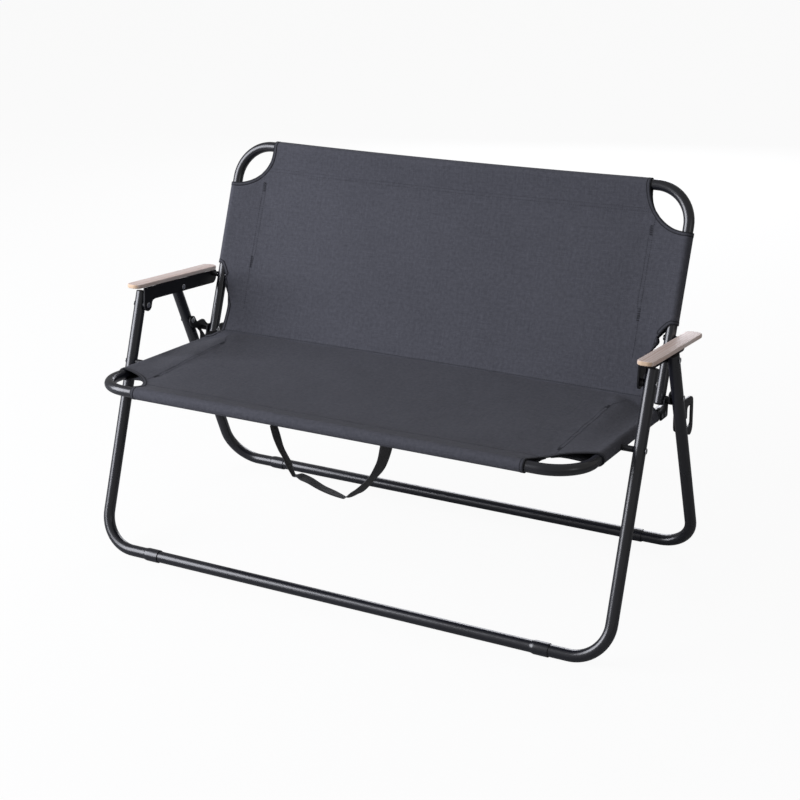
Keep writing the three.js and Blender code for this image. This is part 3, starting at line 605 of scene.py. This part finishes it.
# Sling: one sheet that runs over the seat and up the back, with a sleeve round each tube
ROUND = 11.3
LAYERS_APART = 1.3
CREASE_HALF, CREASE_STEPS = 467.0, 66
CREASE_RISE, CREASE_DROP = 27.3, 3.2
SEAT_CUT, BACK_CUT = 91.0, 82.0
SEAT_HEM, BACK_HEM, SEAT_END_HEM, BACK_END_HEM = 70.0, 66.0, 50.0, 47.0
SEAT_SAG, BACK_SAG, SLACK_HALF = 5.0, 4.0, 434


def ease_in(value):
    value = min(1.0, max(0.0, value))
    return value * value * (3 - 2 * value)


def bolt_height(name):
    """How high a bolt's axis is in the back's own frame."""
    low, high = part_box(name)
    return BACK.local((low + high) / 2).z


HINGE = bolt_height("seat_back_bolt_right")
NOTCH_TOP = bolt_height("arm_back_bolt_right") + 25


class Notch:
    """The cut-out at the lower end of one side of the back: deepest at height mid, where its edge is at x = inner."""

    def __init__(self, mid, inner):
        self.mid, self.inner, self.depth = mid, inner, SIDE - inner
        self.radius = ((NOTCH_TOP - mid) ** 2 + self.depth ** 2) / (2 * self.depth)

    def low(self, d):
        """Where the sleeve starts, by distance from the tube's axis."""
        return self.mid + math.sqrt(max(0.0, self.radius ** 2 - (self.radius - self.depth + min(d, self.depth)) ** 2))

    def span(self, d):
        """From there to where the sleeve ends at the upper corner's cut-out."""
        return self.low(d), BACK_END - math.sqrt(BACK_CUT ** 2 - d * d)


# The cut-outs at the hinges: on the back by side of the chair, on the seat as a circle (x, y, radius)
NOTCHES = {1: Notch(50.0, 454.0), -1: Notch(32.0, 461.0)}
SEAT_NOTCH = (500.0, 232.0, 38.0)
SEAT_FREE, SEAT_LEAVES = SIDE - CREASE_HALF, 186


# The height in the back's frame at which the planes of the seat's and the back's tubes meet, by halving
below, above = -90.0, 0.0
for _ in range(60):
    CROSSING = (below + above) / 2
    if SEAT.local(BACK.point(0, 0, CROSSING)).z > 0:
        above = CROSSING
    else:
        below = CROSSING


def crease_up(x):
    """The crease's height in the back's frame, as measured in the photograph."""
    return CROSSING + (CREASE_RISE - CREASE_DROP * (x / CREASE_HALF) ** 2)


def crease_seat(x):
    return SEAT.local(BACK.point(x, 0, crease_up(x)))


def teardrop(d, reach):
    """Half the height of a sleeve, by distance from the tube's axis."""
    if d >= reach:
        return 0.0
    touch = ROUND * ROUND / reach
    if d <= touch:
        return math.sqrt(ROUND * ROUND - d * d)
    return math.sqrt(ROUND * ROUND - touch * touch) * (reach - d) / (reach - touch)


def smoothed(d, reach, near=32.0):
    """What rounds off the sleeve's edge at its stitch line."""
    if abs(d - reach) >= near:
        return 0.0
    touch = ROUND * ROUND / reach
    slope = math.sqrt(ROUND * ROUND - touch * touch) / (reach - touch)
    return slope * (reach + near - d) ** 2 / (4 * near) - teardrop(d, reach)


def ripple(x, y, size, seed):
    return noise.noise(Vector((x / size, y / size, seed)))


def corner_folds(dx, dy, cut):
    """Shallow folds, 0.8 mm high, that fan out from a cut-out corner."""
    away = math.hypot(dx, dy) - cut
    angle = math.atan2(dy, dx)
    return 0.8 * math.exp(-max(0.0, away) / 55) * math.sin(11 * angle) * ease_in(away / 14)


class Panel:
    """The seat's or the back's part of the sheet: x across, w along, measured in its tubes' plane."""

    def __init__(self, end, inward, side_reach, end_reach, cut, seed):
        self.end, self.inward, self.seed = end, inward, seed
        self.side_reach, self.end_reach, self.cut = side_reach, end_reach, cut
        self.normal = (self.spot(0, 0, 1) - self.spot(0, 0, 0)).normalized()

    def from_end(self, w):
        return (w - self.end) * self.inward

    def sleeve_share(self, x, w):
        """1 where the side sleeve is round its tube, 0 where the sheet leaves it."""
        if self.inward > 0:
            return 1 - ease_in((w - SEAT_LEAVES) / 27)
        mid = NOTCHES[1 if x > 0 else -1].mid
        return ease_in((w - mid + 12) / (12 + 0.93 * (NOTCH_TOP - mid)))

    def puckers(self, x, w, d, e):
        """The unevenness that sewing leaves beside the seams."""
        side = math.exp(-((d - self.side_reach - 3) / 13) ** 2) * ripple(x, w, 21, self.seed + 5)
        end = math.exp(-((e - self.end_reach - 3) / 12) ** 2) * ripple(x, w * 2, 42, self.seed + 6)
        return (2.0 if self.inward > 0 else 1.3) * (side + 0.7 * end)

    def lie(self, x, w):
        """How far the sheet is out of its plane, apart from the sleeves."""
        d, e = SIDE - abs(x), self.from_end(w)
        hold = 1 - self.sleeve_share(x, w)
        firm = min(max(ease_in(d / self.side_reach), hold), ease_in(e / self.end_reach))
        fillet = max(smoothed(d, self.side_reach) * (1 - hold), smoothed(e, self.end_reach))
        corner = corner_folds(d, e, self.cut) + self.puckers(x, w, d, e)
        slack = max(0.0, 1 - (x / SLACK_HALF) ** 2)
        if self.inward > 0:
            far = crease_seat(x)
            share = min(1.0, max(0.0, e / (far.y - self.end)))
            sag = -SEAT_SAG * slack * math.sin(math.pi * share)
            fine = 0.9 * ripple(x, w * 1.6, 95, self.seed) + 0.35 * ripple(x * 1.3, w, 33, self.seed + 3)
            return firm * ((sag + fine + corner) * ease_in((far.y - w) / 40) + far.z * share ** 1.3) + fillet
        share = min(1.0, max(0.0, e / (self.end - crease_up(0))))
        sag = -BACK_SAG * slack * math.sin(math.pi * share)
        fine = 1.0 * ripple(x * 0.8, w * 1.3, 120, self.seed) + 0.35 * ripple(x, w * 1.2, 38, self.seed + 3)
        return firm * (sag + fine + corner) * ease_in((w - crease_up(x)) / 45) + fillet

    def at(self, x, w, layer=1):
        """A point on the sheet's upper layer, or on the under layer of its hems where layer is -1."""
        d, e = SIDE - abs(x), self.from_end(w)
        sleeve_height = teardrop(d, self.side_reach) * self.sleeve_share(x, w)
        sleeve_height = max(sleeve_height, teardrop(e, self.end_reach))
        if layer < 0:
            sleeve_height = max(sleeve_height, LAYERS_APART)
        return self.spot(x, w, self.lie(x, w) + layer * sleeve_height)

    def spot(self, x, w, height):
        if self.inward > 0:
            return SEAT.point(x, w, height)
        drop = BACK_BOW * max(0.0, 1 - (x / BACK_MOUTH) ** 2) * ease_in(1 - self.from_end(w) / 260)
        return BACK.point(x, -height, w - drop)

    def end_span(self, e):
        """Where a row of the front or top sleeve starts and ends, between the corners' cut-outs."""
        half = SIDE - math.sqrt(self.cut ** 2 - e * e)
        return -half, half

    def round_tube(self, row, x, w):
        """A point of a sleeve, on one of its layers or where it turns round the tube."""
        turn, layer = row[1:3]
        return self.at(x, w, layer) if turn is None else self.spot(x, w, ROUND * math.cos(turn))


seat_panel = Panel(SEAT_END, 1, SEAT_HEM, SEAT_END_HEM, SEAT_CUT, 1.7)
back_panel = Panel(BACK_END, -1, BACK_HEM, BACK_END_HEM, BACK_CUT, 8.3)

# Rows of the sleeves by distance from the tube's axis, and steps along them
SEAT_ROWS = [0, 1.2, 2.3, 7, 13, 19, 28, 38, 48, 59, SEAT_HEM]
BACK_ROWS = {1: [0, 1.0, 1.95, 7, 13, 19, 25.5, 32, 40, 48, 57, BACK_HEM],
             -1: [0, 1.0, 1.95, 7, 12.5, 18.5, 25, 35, 45, 56, BACK_HEM]}
SEAT_END_ROWS = [0, 1.2, 2.55, 8, 15, 22, 29, 36, 43, SEAT_END_HEM]
BACK_END_ROWS = [0, 1.3, 2.7, 9, 16, 23, 31, 39, BACK_END_HEM]
SEAT_STEPS, BACK_STEPS, END_STEPS, TURNS = 42, 24, 116, 14
BACK_UV = 400

# A vertex that is bound lies on a cut-out's edge, which gets binding tape
cloth = bmesh.new()
cloth_uv = cloth.loops.layers.uv.verify()
bound = cloth.verts.layers.int.new("bound")
flat = {}


def cloth_vert(point, place, mark=0):
    made = cloth.verts.new(point)
    made[bound] = mark
    flat[made] = place
    return made


def cloth_face(verts, outward, panel):
    face = cloth.faces.new(verts)
    face.normal_update()
    if face.normal.dot(outward) < 0:
        face.normal_flip()
    for loop in face.loops:
        x, w = flat[loop.vert]
        loop[cloth_uv].uv = x * MM, (w + (0 if panel.inward > 0 else BACK_UV)) * MM


def strip(panel, spread, distances, count, span, first, last):
    """A sleeve: rows from its lower stitch line round the tube to its upper one.

    Spread gives the flat place for a distance from the tube's axis and a place along it. The rows' ends are
    on a cut-out's edge as far from the axis as first and last say."""
    grid, outs = [], []
    for row in sleeve_rows(distances):
        d, turn, layer, length = row
        low, high = span(d)
        reach = d if turn is None else -ROUND * math.sin(turn)
        centre = (low + high) / 2
        out = panel.round_tube(row, *spread(reach, centre)) - panel.spot(*spread(0, centre), 0)
        outs.append(panel.normal * layer if layer else out.normalized())
        line = []
        for k in range(count + 1):
            along = low + (high - low) * k / count
            mark = int(d <= {0: first, count: last}.get(k, -1))
            line.append(cloth_vert(panel.round_tube(row, *spread(reach, along)), spread(length, along), mark))
        grid.append(line)
    for a, b, out_a, out_b in zip(grid, grid[1:], outs, outs[1:]):
        for k in range(count):
            cloth_face((a[k], a[k + 1], b[k + 1], b[k]), out_a + out_b, panel)
    return grid


def sleeve_rows(steps):
    """(distance, turn, layer, length along the cloth) for each row."""
    rows = [(d, None, -1, -d - math.pi * ROUND) for d in reversed(steps)]
    rows += [(0, math.pi * (1 - k / TURNS), 0, -ROUND * math.pi * (1 - k / TURNS)) for k in range(1, TURNS)]
    return rows + [(d, None, 1, d) for d in steps]


def seat_side_span(d):
    """Where a row starts at the front corner's cut-out and ends at the hinge's."""
    x, y, r = SEAT_NOTCH
    return (SEAT_END + math.sqrt(SEAT_CUT ** 2 - d * d),
            y - math.sqrt(r * r - (x - SIDE + min(d, SEAT_FREE)) ** 2))


ALL = 1000
sleeves = {}
for sign in (1, -1):
    sleeves["seat", sign] = strip(seat_panel, lambda d, w: (sign * (SIDE - d), w), SEAT_ROWS, SEAT_STEPS,
                                  seat_side_span, ALL, SEAT_FREE)
    sleeves["back", sign] = strip(back_panel, lambda d, w: (sign * (SIDE - d), w), BACK_ROWS[sign], BACK_STEPS,
                                  NOTCHES[sign].span, NOTCHES[sign].depth + 0.01, ALL)
sleeves["seat", 0] = strip(seat_panel, lambda e, x: (x, SEAT_END + e), SEAT_END_ROWS, END_STEPS,
                           seat_panel.end_span, ALL, ALL)
sleeves["back", 0] = strip(back_panel, lambda e, x: (x, BACK_END - e), BACK_END_ROWS, END_STEPS,
                           back_panel.end_span, ALL, ALL)


def arc(centre, radius, start, end, step=6.5):
    """Points on a circle between two angles in degrees, without its ends."""
    count = max(2, round(abs(math.radians(end - start)) * radius / step))
    return [(centre[0] + radius * math.cos(math.radians(start + (end - start) * k / count)),
             centre[1] + radius * math.sin(math.radians(start + (end - start) * k / count))) for k in range(1, count)]


def degrees(y, x):
    return math.degrees(math.atan2(y, x))


CREASE_XS = [CREASE_HALF * k / CREASE_STEPS for k in range(-CREASE_STEPS, CREASE_STEPS + 1)]
GRID, ROW_SHARE, NEAR = 7.4, 0.87, 12


def fill(panel, outline):
    """The sheet between the sleeves. The outline is (x, w, vertex to share or mark of a new one)."""
    spots = [Vector((x, w)) for x, w, _ in outline]
    count = len(spots)
    inside = []
    low = min(s.y for s in spots)
    rows = int((max(s.y for s in spots) - low) / (GRID * ROW_SHARE))
    for i in range(rows + 1):
        w = low + (i + 0.5) * GRID * ROW_SHARE
        for k in range(-66, 67):
            x = (k + (0.5 if i % 2 else 0)) * GRID
            spot = Vector((x, w))
            hits, gap = False, 1e9
            for a, b in zip(spots, spots[1:] + spots[:1]):
                if (a.y > w) != (b.y > w) and x < a.x + (w - a.y) / (b.y - a.y) * (b.x - a.x):
                    hits = not hits
                if abs(a.y - w) < NEAR and abs(a.x - x) < NEAR:
                    gap = min(gap, (a - spot).length)
            if hits and gap > GRID * 0.6:
                inside.append(spot)
    rim = [(k, (k + 1) % count) for k in range(count)]
    verts, _, faces, origins, *_ = delaunay_2d_cdt(spots + inside, rim, [], 1, 1e-5)
    made = []
    for spot, source in zip(verts, origins):
        vert = outline[min(source)][2] if source and min(source) < count else 0
        if isinstance(vert, int):
            vert = cloth_vert(panel.at(spot.x, spot.y), (spot.x, spot.y), vert)
        made.append(vert)
    for face in faces:
        cloth_face([made[k] for k in face], panel.normal, panel)


def shared(verts):
    return [(*flat[v], v) for v in verts]


def crease_line(height):
    return [(x, height(x), int(abs(abs(x) - CREASE_HALF) < 0.01)) for x in reversed(CREASE_XS)]


def seat_side(sign):
    """Back along a side's stitch line, then out along the sleeve's rear end."""
    rows = sleeves["seat", sign][-len(SEAT_ROWS):]
    ends = [row[-1] for d, row in zip(SEAT_ROWS, rows) if SEAT_FREE <= d < SEAT_HEM]
    return shared(rows[-1] + ends[::-1])


def back_side(sign):
    """Down a side's stitch line, out along the sleeve's lower end, then round the cut-out to the crease."""
    cut, places = NOTCHES[sign], BACK_ROWS[sign]
    rows = sleeves["back", sign][-len(places):]
    ends = [row[0] for d, row in zip(places, rows) if cut.depth - 0.01 <= d < BACK_HEM]
    drop, out = cut.mid - crease_up(CREASE_HALF), CREASE_HALF - cut.inner
    bow = (drop ** 2 + out ** 2) / (2 * out)
    edge = arc((cut.inner + bow, cut.mid), bow, 180, 180 + degrees(drop, bow - out))
    return shared(rows[-1][::-1] + ends[::-1]) + [(sign * x, w, 1) for x, w in edge]


def seat_outline():
    front = degrees(SEAT_END_HEM, -math.sqrt(SEAT_CUT ** 2 - SEAT_END_HEM ** 2))
    side = degrees(math.sqrt(SEAT_CUT ** 2 - SEAT_HEM ** 2), -SEAT_HEM)
    corner = arc((SIDE, SEAT_END), SEAT_CUT, front, side)
    return (shared(sleeves["seat", 0][-1]) + [(x, w, 1) for x, w in corner] + seat_side(1)
            + crease_line(lambda x: crease_seat(x).y)
            + seat_side(-1)[::-1] + [(-x, w, 1) for x, w in reversed(corner)])


def back_outline():
    return shared(sleeves["back", 0][-1]) + back_side(1) + crease_line(crease_up) + back_side(-1)[::-1]


fill(seat_panel, seat_outline())
fill(back_panel, back_outline())
bmesh.ops.remove_doubles(cloth, verts=cloth.verts, dist=2e-5)
for face in cloth.faces:
    face.smooth = True
cloth.normal_update()


# The cut-out edges, as paths of (point, normal, direction into the cloth)
def edge_chain(open_edges):
    """Takes one unbroken run out of the edges, and gives its vertices in order."""
    edge = next(iter(open_edges))
    del open_edges[edge]
    chain = list(edge.verts)
    for ahead in (True, False):
        while True:
            tip = chain[-1] if ahead else chain[0]
            step = next((e for e in tip.link_edges if e in open_edges), None)
            if step is None:
                break
            del open_edges[step]
            chain.insert(len(chain) if ahead else 0, step.other_vert(tip))
    return chain


def edge_frames(chain):
    frames = []
    for k, v in enumerate(chain):
        before, after = chain[max(0, k - 1)].co, chain[min(len(chain) - 1, k + 1)].co
        along = (after - before).normalized()
        normal = v.normal.normalized()
        inward = normal.cross(along).normalized()
        faces = [f.calc_center_median() for f in v.link_faces]
        if (sum(faces, Vector()) / len(faces) - v.co).dot(inward) < 0:
            inward.negate()
        frames.append((v.co.copy(), normal, inward))
    return frames


SHORTEST_CUT = 12
cut_paths = []
bound_edges = dict.fromkeys(e for e in cloth.edges if e.is_boundary and all(v[bound] for v in e.verts))
while bound_edges:
    chain = edge_chain(bound_edges)
    if len(chain) > SHORTEST_CUT:
        cut_paths.append(edge_frames(chain))
cut_area = sum(f.calc_area() for f in cloth.faces)
sling = add_object("sling_cloth", cloth, "sling_fabric")
solid = sling.modifiers.new("thickness", "SOLIDIFY")
solid.thickness, solid.offset, solid.use_even_offset = 0.0011, 0.0, False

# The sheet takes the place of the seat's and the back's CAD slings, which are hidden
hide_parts("seat_sling", "back_sling")


# Bias binding round the cut-outs, and the stitches
def spaced(path, step):
    """The same path with its frames at even steps."""
    lengths = [0.0]
    for a, b in zip(path, path[1:]):
        lengths.append(lengths[-1] + (b[0] - a[0]).length)
    count = max(2, round(lengths[-1] / step))
    made, j = [], 0
    for k in range(count + 1):
        want = lengths[-1] * k / count
        while j < len(lengths) - 2 and lengths[j + 1] < want:
            j += 1
        gap = lengths[j + 1] - lengths[j]
        share = (want - lengths[j]) / gap if gap > 0 else 0
        made.append(tuple(path[j][i].lerp(path[j + 1][i], share) for i in range(3)))
    return made


def tape(bm, path, width=7.0, thick=1.05, over=0.5):
    """Binding tape folded over an edge."""
    section = []
    for k in range(7):
        a = math.pi / 2 + math.pi * k / 6
        section.append((-over + 0.7 * math.cos(a), thick * math.sin(a)))
    section += [(width * 0.5, -thick * 0.94), (width - 0.5, -thick * 0.86), (width, -thick * 0.5),
                (width, thick * 0.5), (width - 0.5, thick * 0.86), (width * 0.5, thick * 0.94)]
    rings = []
    for k, (p, n, m) in enumerate(spaced(path, 0.0035)):
        swell = 1 + 0.1 * noise.noise(Vector((k * 0.35, len(path) * 0.7, 2.0)))
        rings.append([p + (m * a + n * b * swell) * MM for a, b in section])
    loft(bm, rings)


# One stitch: share of its length, share of its radius, height over its line
STITCH = ((-0.5, 0.3, -0.35), (-0.34, 0.85, 0.0), (0, 1.0, 0.16), (0.34, 0.85, 0.0), (0.5, 0.3, -0.35))


def stitch_row(bm, path, lift=0.75, inset=0.0, pitch=0.0042, length=0.0030, radius=0.00034):
    """A row of separate raised stitches along a path of frames."""
    marks = spaced(path, pitch)
    for k, ((a, n, m), (b, *_)) in enumerate(zip(marks, marks[1:])):
        along = (b - a).normalized()
        side = n.cross(along).normalized()
        spot = (a + b) / 2 + m * inset * MM
        spot += side * 0.00008 * math.sin(k * 2.4)
        rings = []
        for s, r, h in STITCH:
            centre = spot + along * length * s + n * (lift + h) * MM
            rings.append([centre + (side * math.cos(t) + n * math.sin(t)) * radius * r
                          for t in (math.pi / 3 * q for q in range(6))])
        loft(bm, rings)


def part_of(path):
    """The body that a cut-out's edge moves with, or both."""
    spots = [p[0] for p in path]
    on_seat = any(SEAT.local(p).y < 214 and abs(SEAT.local(p).z) < 40 for p in spots)
    on_back = any(BACK.local(p).z > HINGE + 60 for p in spots)
    if on_seat and on_back:
        return "both"
    return "backrest" if BACK.local(sum(spots, Vector()) / len(spots)).z > 150 else "seat"


tapes, sewn = ({key: bmesh.new() for key in ("seat", "backrest", "both")} for _ in range(2))
for path in cut_paths:
    key = part_of(path)
    tape(tapes[key], path)
    for layer in (1, -1):
        stitch_row(sewn[key], [(p, n * layer, m) for p, n, m in path], lift=1.0, inset=5.4)

PANELS = {"seat": seat_panel, "backrest": back_panel, "both": back_panel}
NUDGE = 0.4


def surface_path(panel, points, layer):
    """Frames along a line on one layer of the sheet."""
    outward = Vector((0, 0, 1)) if panel.inward > 0 else Vector((0, -1, 0))
    made = []
    for x, w in points:
        dx = panel.at(x + NUDGE, w, layer) - panel.at(x - NUDGE, w, layer)
        dw = panel.at(x, w + NUDGE, layer) - panel.at(x, w - NUDGE, layer)
        normal = dx.cross(dw).normalized()
        if normal.dot(outward) * layer < 0:
            normal.negate()
        made.append((panel.at(x, w, layer), normal, dx.normalized()))
    return made


def seam(key, points, layer=1):
    stitch_row(sewn[key], surface_path(PANELS[key], points, layer))


def line(a, b, count=60):
    return [(a[0] + (b[0] - a[0]) * k / count, a[1] + (b[1] - a[1]) * k / count) for k in range(count + 1)]


def bar_tack(key, x, low, high, layer):
    """Close rows of thread that end a seam."""
    for k in range(-2, 3):
        seam(key, line((x + 1.1 * k, low), (x + 1.1 * k, high), 12), layer)


# Double seams along the hems, by distance from the chair's middle. The seat's turns out at its rear
SEAT_SEAM, BACK_SEAM, SECOND_ROW = SIDE - SEAT_HEM + 2, 422, 7
FRONT_SEAM_HALF, TOP_SEAM_HALF = 406, 417
QUARTER = [math.pi / 2 * k / 14 for k in range(1, 15)]
for layer in (1, -1):
    for sign in (1, -1):
        x, second = sign * SEAT_SEAM, sign * (SEAT_SEAM - SECOND_ROW)
        if layer > 0:
            turned_out = [(x + sign * 12 * math.sin(t), 168 + 36 * (1 - math.cos(t))) for t in QUARTER]
            seam("seat", line((x, -107), (x, 168)) + turned_out)
        else:
            seam("seat", line((x, -107), (x, 196)), layer)
        seam("seat", line((second, -76), (second, 150)), layer)
        bar_tack("seat", x - sign * 3, -84, -68, layer)
        bar_tack("seat", x - sign * 3, 141, 157, layer)
        x, second = sign * BACK_SEAM, sign * (BACK_SEAM - SECOND_ROW)
        seam("backrest", line((x, 316), (x, NOTCHES[sign].mid - 4)), layer)
        seam("backrest", line((second, 290), (second, 150)) + line((second, 148), (sign * 420, 118), 12), layer)
        bar_tack("backrest", sign * 418.5, 272, 292, layer)
        bar_tack("backrest", sign * 421, 113, 138, layer)
    seam("seat", line((-FRONT_SEAM_HALF, SEAT_END + 48), (FRONT_SEAM_HALF, SEAT_END + 48)), layer)
    for inset in (45, 51):
        seam("backrest", line((-TOP_SEAM_HALF, BACK_END - inset), (TOP_SEAM_HALF, BACK_END - inset)), layer)
for above in (0.9, 2.0):
    seam("both", [(x, crease_up(x) + above) for x in CREASE_XS])

for key in tapes:
    for kind, look, bm in (("binding", "binding", tapes[key]), ("stitching", "thread", sewn[key])):
        if not bm.faces:
            bm.free()
            continue
        finish_mesh(bm, 60)
        made = add_object(f"{kind}_{'crease' if key == 'both' else key}", bm, "sling_fabric", look=look)
        if key == "both":
            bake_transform(made)
        else:
            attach(made, key)
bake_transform(sling)

# Carry strap: flat webbing, folded at its lower left and pinched at its lowest point
# Each row is x and z in mm, twist in degrees and share of the full width
STRAP = [(-91, 362, -1, 1), (-90, 355.6, -1, 1), (-85.3, 337.6, 0, 1), (-78.3, 316.2, -8, 0.95),
         (-71.1, 302.9, -12, 0.95), (-64.6, 289.4, -9, 1), (-58.5, 276, -14, 0.85), (-54.5, 267.5, -16, 0.7),
         (-49, 267.5, -8, 0.7), (-43.5, 269.5, -3, 0.85), (-35.5, 267, 1, 1), (-21.3, 263.3, -1, 1),
         (2.3, 253.9, -6, 1), (25.7, 248.3, -6, 0.95), (44, 244.2, -10, 0.7), (50.5, 243.4, -14, 0.55),
         (57.5, 247.4, -24, 0.7), (69, 256.5, -29, 0.9), (82.2, 266.6, -30, 1), (105.1, 291.7, -24, 0.95),
         (119.9, 312.9, -35, 1), (129.1, 332.8, -38, 1), (135.6, 355.5, -54, 1), (136.5, 362, -56, 1)]
STRAP_Y, STRAP_STEPS, STRAP_HALF = -279.6, 138, 11


def spline(points, count):
    made = []
    for k in range(count + 1):
        t = k / count * (len(points) - 1)
        i = min(int(t), len(points) - 2)
        f = t - i
        p = [Vector(points[min(max(j, 0), len(points) - 1)]) for j in (i - 1, i, i + 1, i + 2)]
        made.append(0.5 * ((2 * p[1]) + (p[2] - p[0]) * f + (2 * p[0] - 5 * p[1] + 4 * p[2] - p[3]) * f ** 2
                           + (3 * p[1] - p[0] - 3 * p[2] + p[3]) * f ** 3))
    return made


def make_strap():
    rows = spline(STRAP, STRAP_STEPS)
    route = [Vector((row[0], STRAP_Y, row[1])) for row in rows]
    total = sum((b - a).length for a, b in zip(route, route[1:]))
    upper = [(STRAP_HALF, 0.35), (10.6, 0.75), (5, 0.8), (0, 0.8), (-5, 0.8), (-10.6, 0.75), (-STRAP_HALF, 0.35)]
    section = [(-a, -b) for a, b in upper] + upper
    flat = Vector((0, 1, 0))
    rings, gone = [], 0.0
    for k, (p, row) in enumerate(zip(route, rows)):
        along = (route[min(k + 1, STRAP_STEPS)] - route[max(k - 1, 0)]).normalized()
        facing = along.cross(flat).normalized()
        twist, narrow = math.radians(row[2]), row[3]
        wide = flat * math.cos(twist) + facing * math.sin(twist)
        thin = along.cross(wide).normalized()
        cup = 0.5 * math.sin(gone / total * 9) + 5 * (1 - narrow)
        rings.append([(p + wide * a * narrow + thin * (b + cup * (1 - (a / STRAP_HALF) ** 2))) * MM
                      for a, b in section])
        if k < STRAP_STEPS:
            gone += (route[k + 1] - p).length
    stand_in("carry_strap", "webbing", rings, "webbing", sharp=50)


make_strap()


# Floor, world and lights
FLOOR_DEPTH = -0.0004
LIGHT_COLOUR = (0.91, 0.925, 1)

# Name, place, point that it shines at, size in metres, power in watts
LIGHTS = (("key_light", (-2.6, -1.9, 1.75), (0, 0, 0.4), 2.5, 130),
          ("fill_light", (3.4, -1.0, 1.7), (0, 0, 0.4), 0.8, 2.5),
          ("rear_light", (-0.8, 3.0, 1.1), (0, 0, 0.45), 1.6, 38))


def make_floor():
    """Nearly white to the camera, with faint shadows, and grey to the light that it throws back."""
    mesh = bpy.data.meshes.new("floor")
    bm = bmesh.new()
    bmesh.ops.create_grid(bm, x_segments=8, y_segments=8, size=30)
    bm.to_mesh(mesh)
    bm.free()
    floor = bpy.data.objects.new("floor", mesh)
    bpy.context.scene.collection.objects.link(floor)
    floor.location = (0, 0, FLOOR_DEPTH)
    mat = bpy.data.materials.new("pale_floor")
    mat.use_nodes = True
    mat.node_tree.nodes.clear()
    seen = node(mat, "ShaderNodeLightPath").outputs["Is Camera Ray"]
    diffuse = node(mat, "ShaderNodeBsdfDiffuse", {"Color": maths(mat, "MULTIPLY_ADD", seen, 0.6, 0.35)})
    glow = node(mat, "ShaderNodeEmission", {"Color": (1, 1, 1, 1)})
    share = times(mat, seen, 0.935)
    mix = node(mat, "ShaderNodeMixShader", {0: share, 1: diffuse.outputs[0], 2: glow.outputs[0]})
    node(mat, "ShaderNodeOutputMaterial", {"Surface": mix.outputs[0]})
    mesh.materials.append(mat)


def make_world():
    """White to the camera, and dimmer and a little warm as a light."""
    world = bpy.data.worlds.new("studio")
    bpy.context.scene.world = world
    world.use_nodes = True
    world.node_tree.nodes.clear()
    rays = node(world, "ShaderNodeLightPath").outputs
    seen = maths(world, "MAXIMUM", rays["Is Camera Ray"], rays["Is Transmission Ray"])
    dim = node(world, "ShaderNodeBackground", {"Color": (1, 0.99, 0.97, 1), "Strength": 0.26})
    white = node(world, "ShaderNodeBackground", {"Color": (1, 1, 1, 1)})
    mix = node(world, "ShaderNodeMixShader", {0: seen, 1: dim.outputs[0], 2: white.outputs[0]})
    node(world, "ShaderNodeOutputWorld", {"Surface": mix.outputs[0]})


def make_light(name, spot, aim, size, power):
    data = bpy.data.lights.new(name, "AREA")
    data.shape, data.size, data.energy, data.color = "SQUARE", size, power, LIGHT_COLOUR
    lamp = bpy.data.objects.new(name, data)
    bpy.context.scene.collection.objects.link(lamp)
    lamp.location = spot
    lamp.rotation_mode = "QUATERNION"
    lamp.rotation_quaternion = (Vector(aim) - Vector(spot)).to_track_quat("-Z", "Y")


make_floor()
make_world()
for light in LIGHTS:
    make_light(*light)
bpy.context.scene.view_settings.view_transform = "Standard"
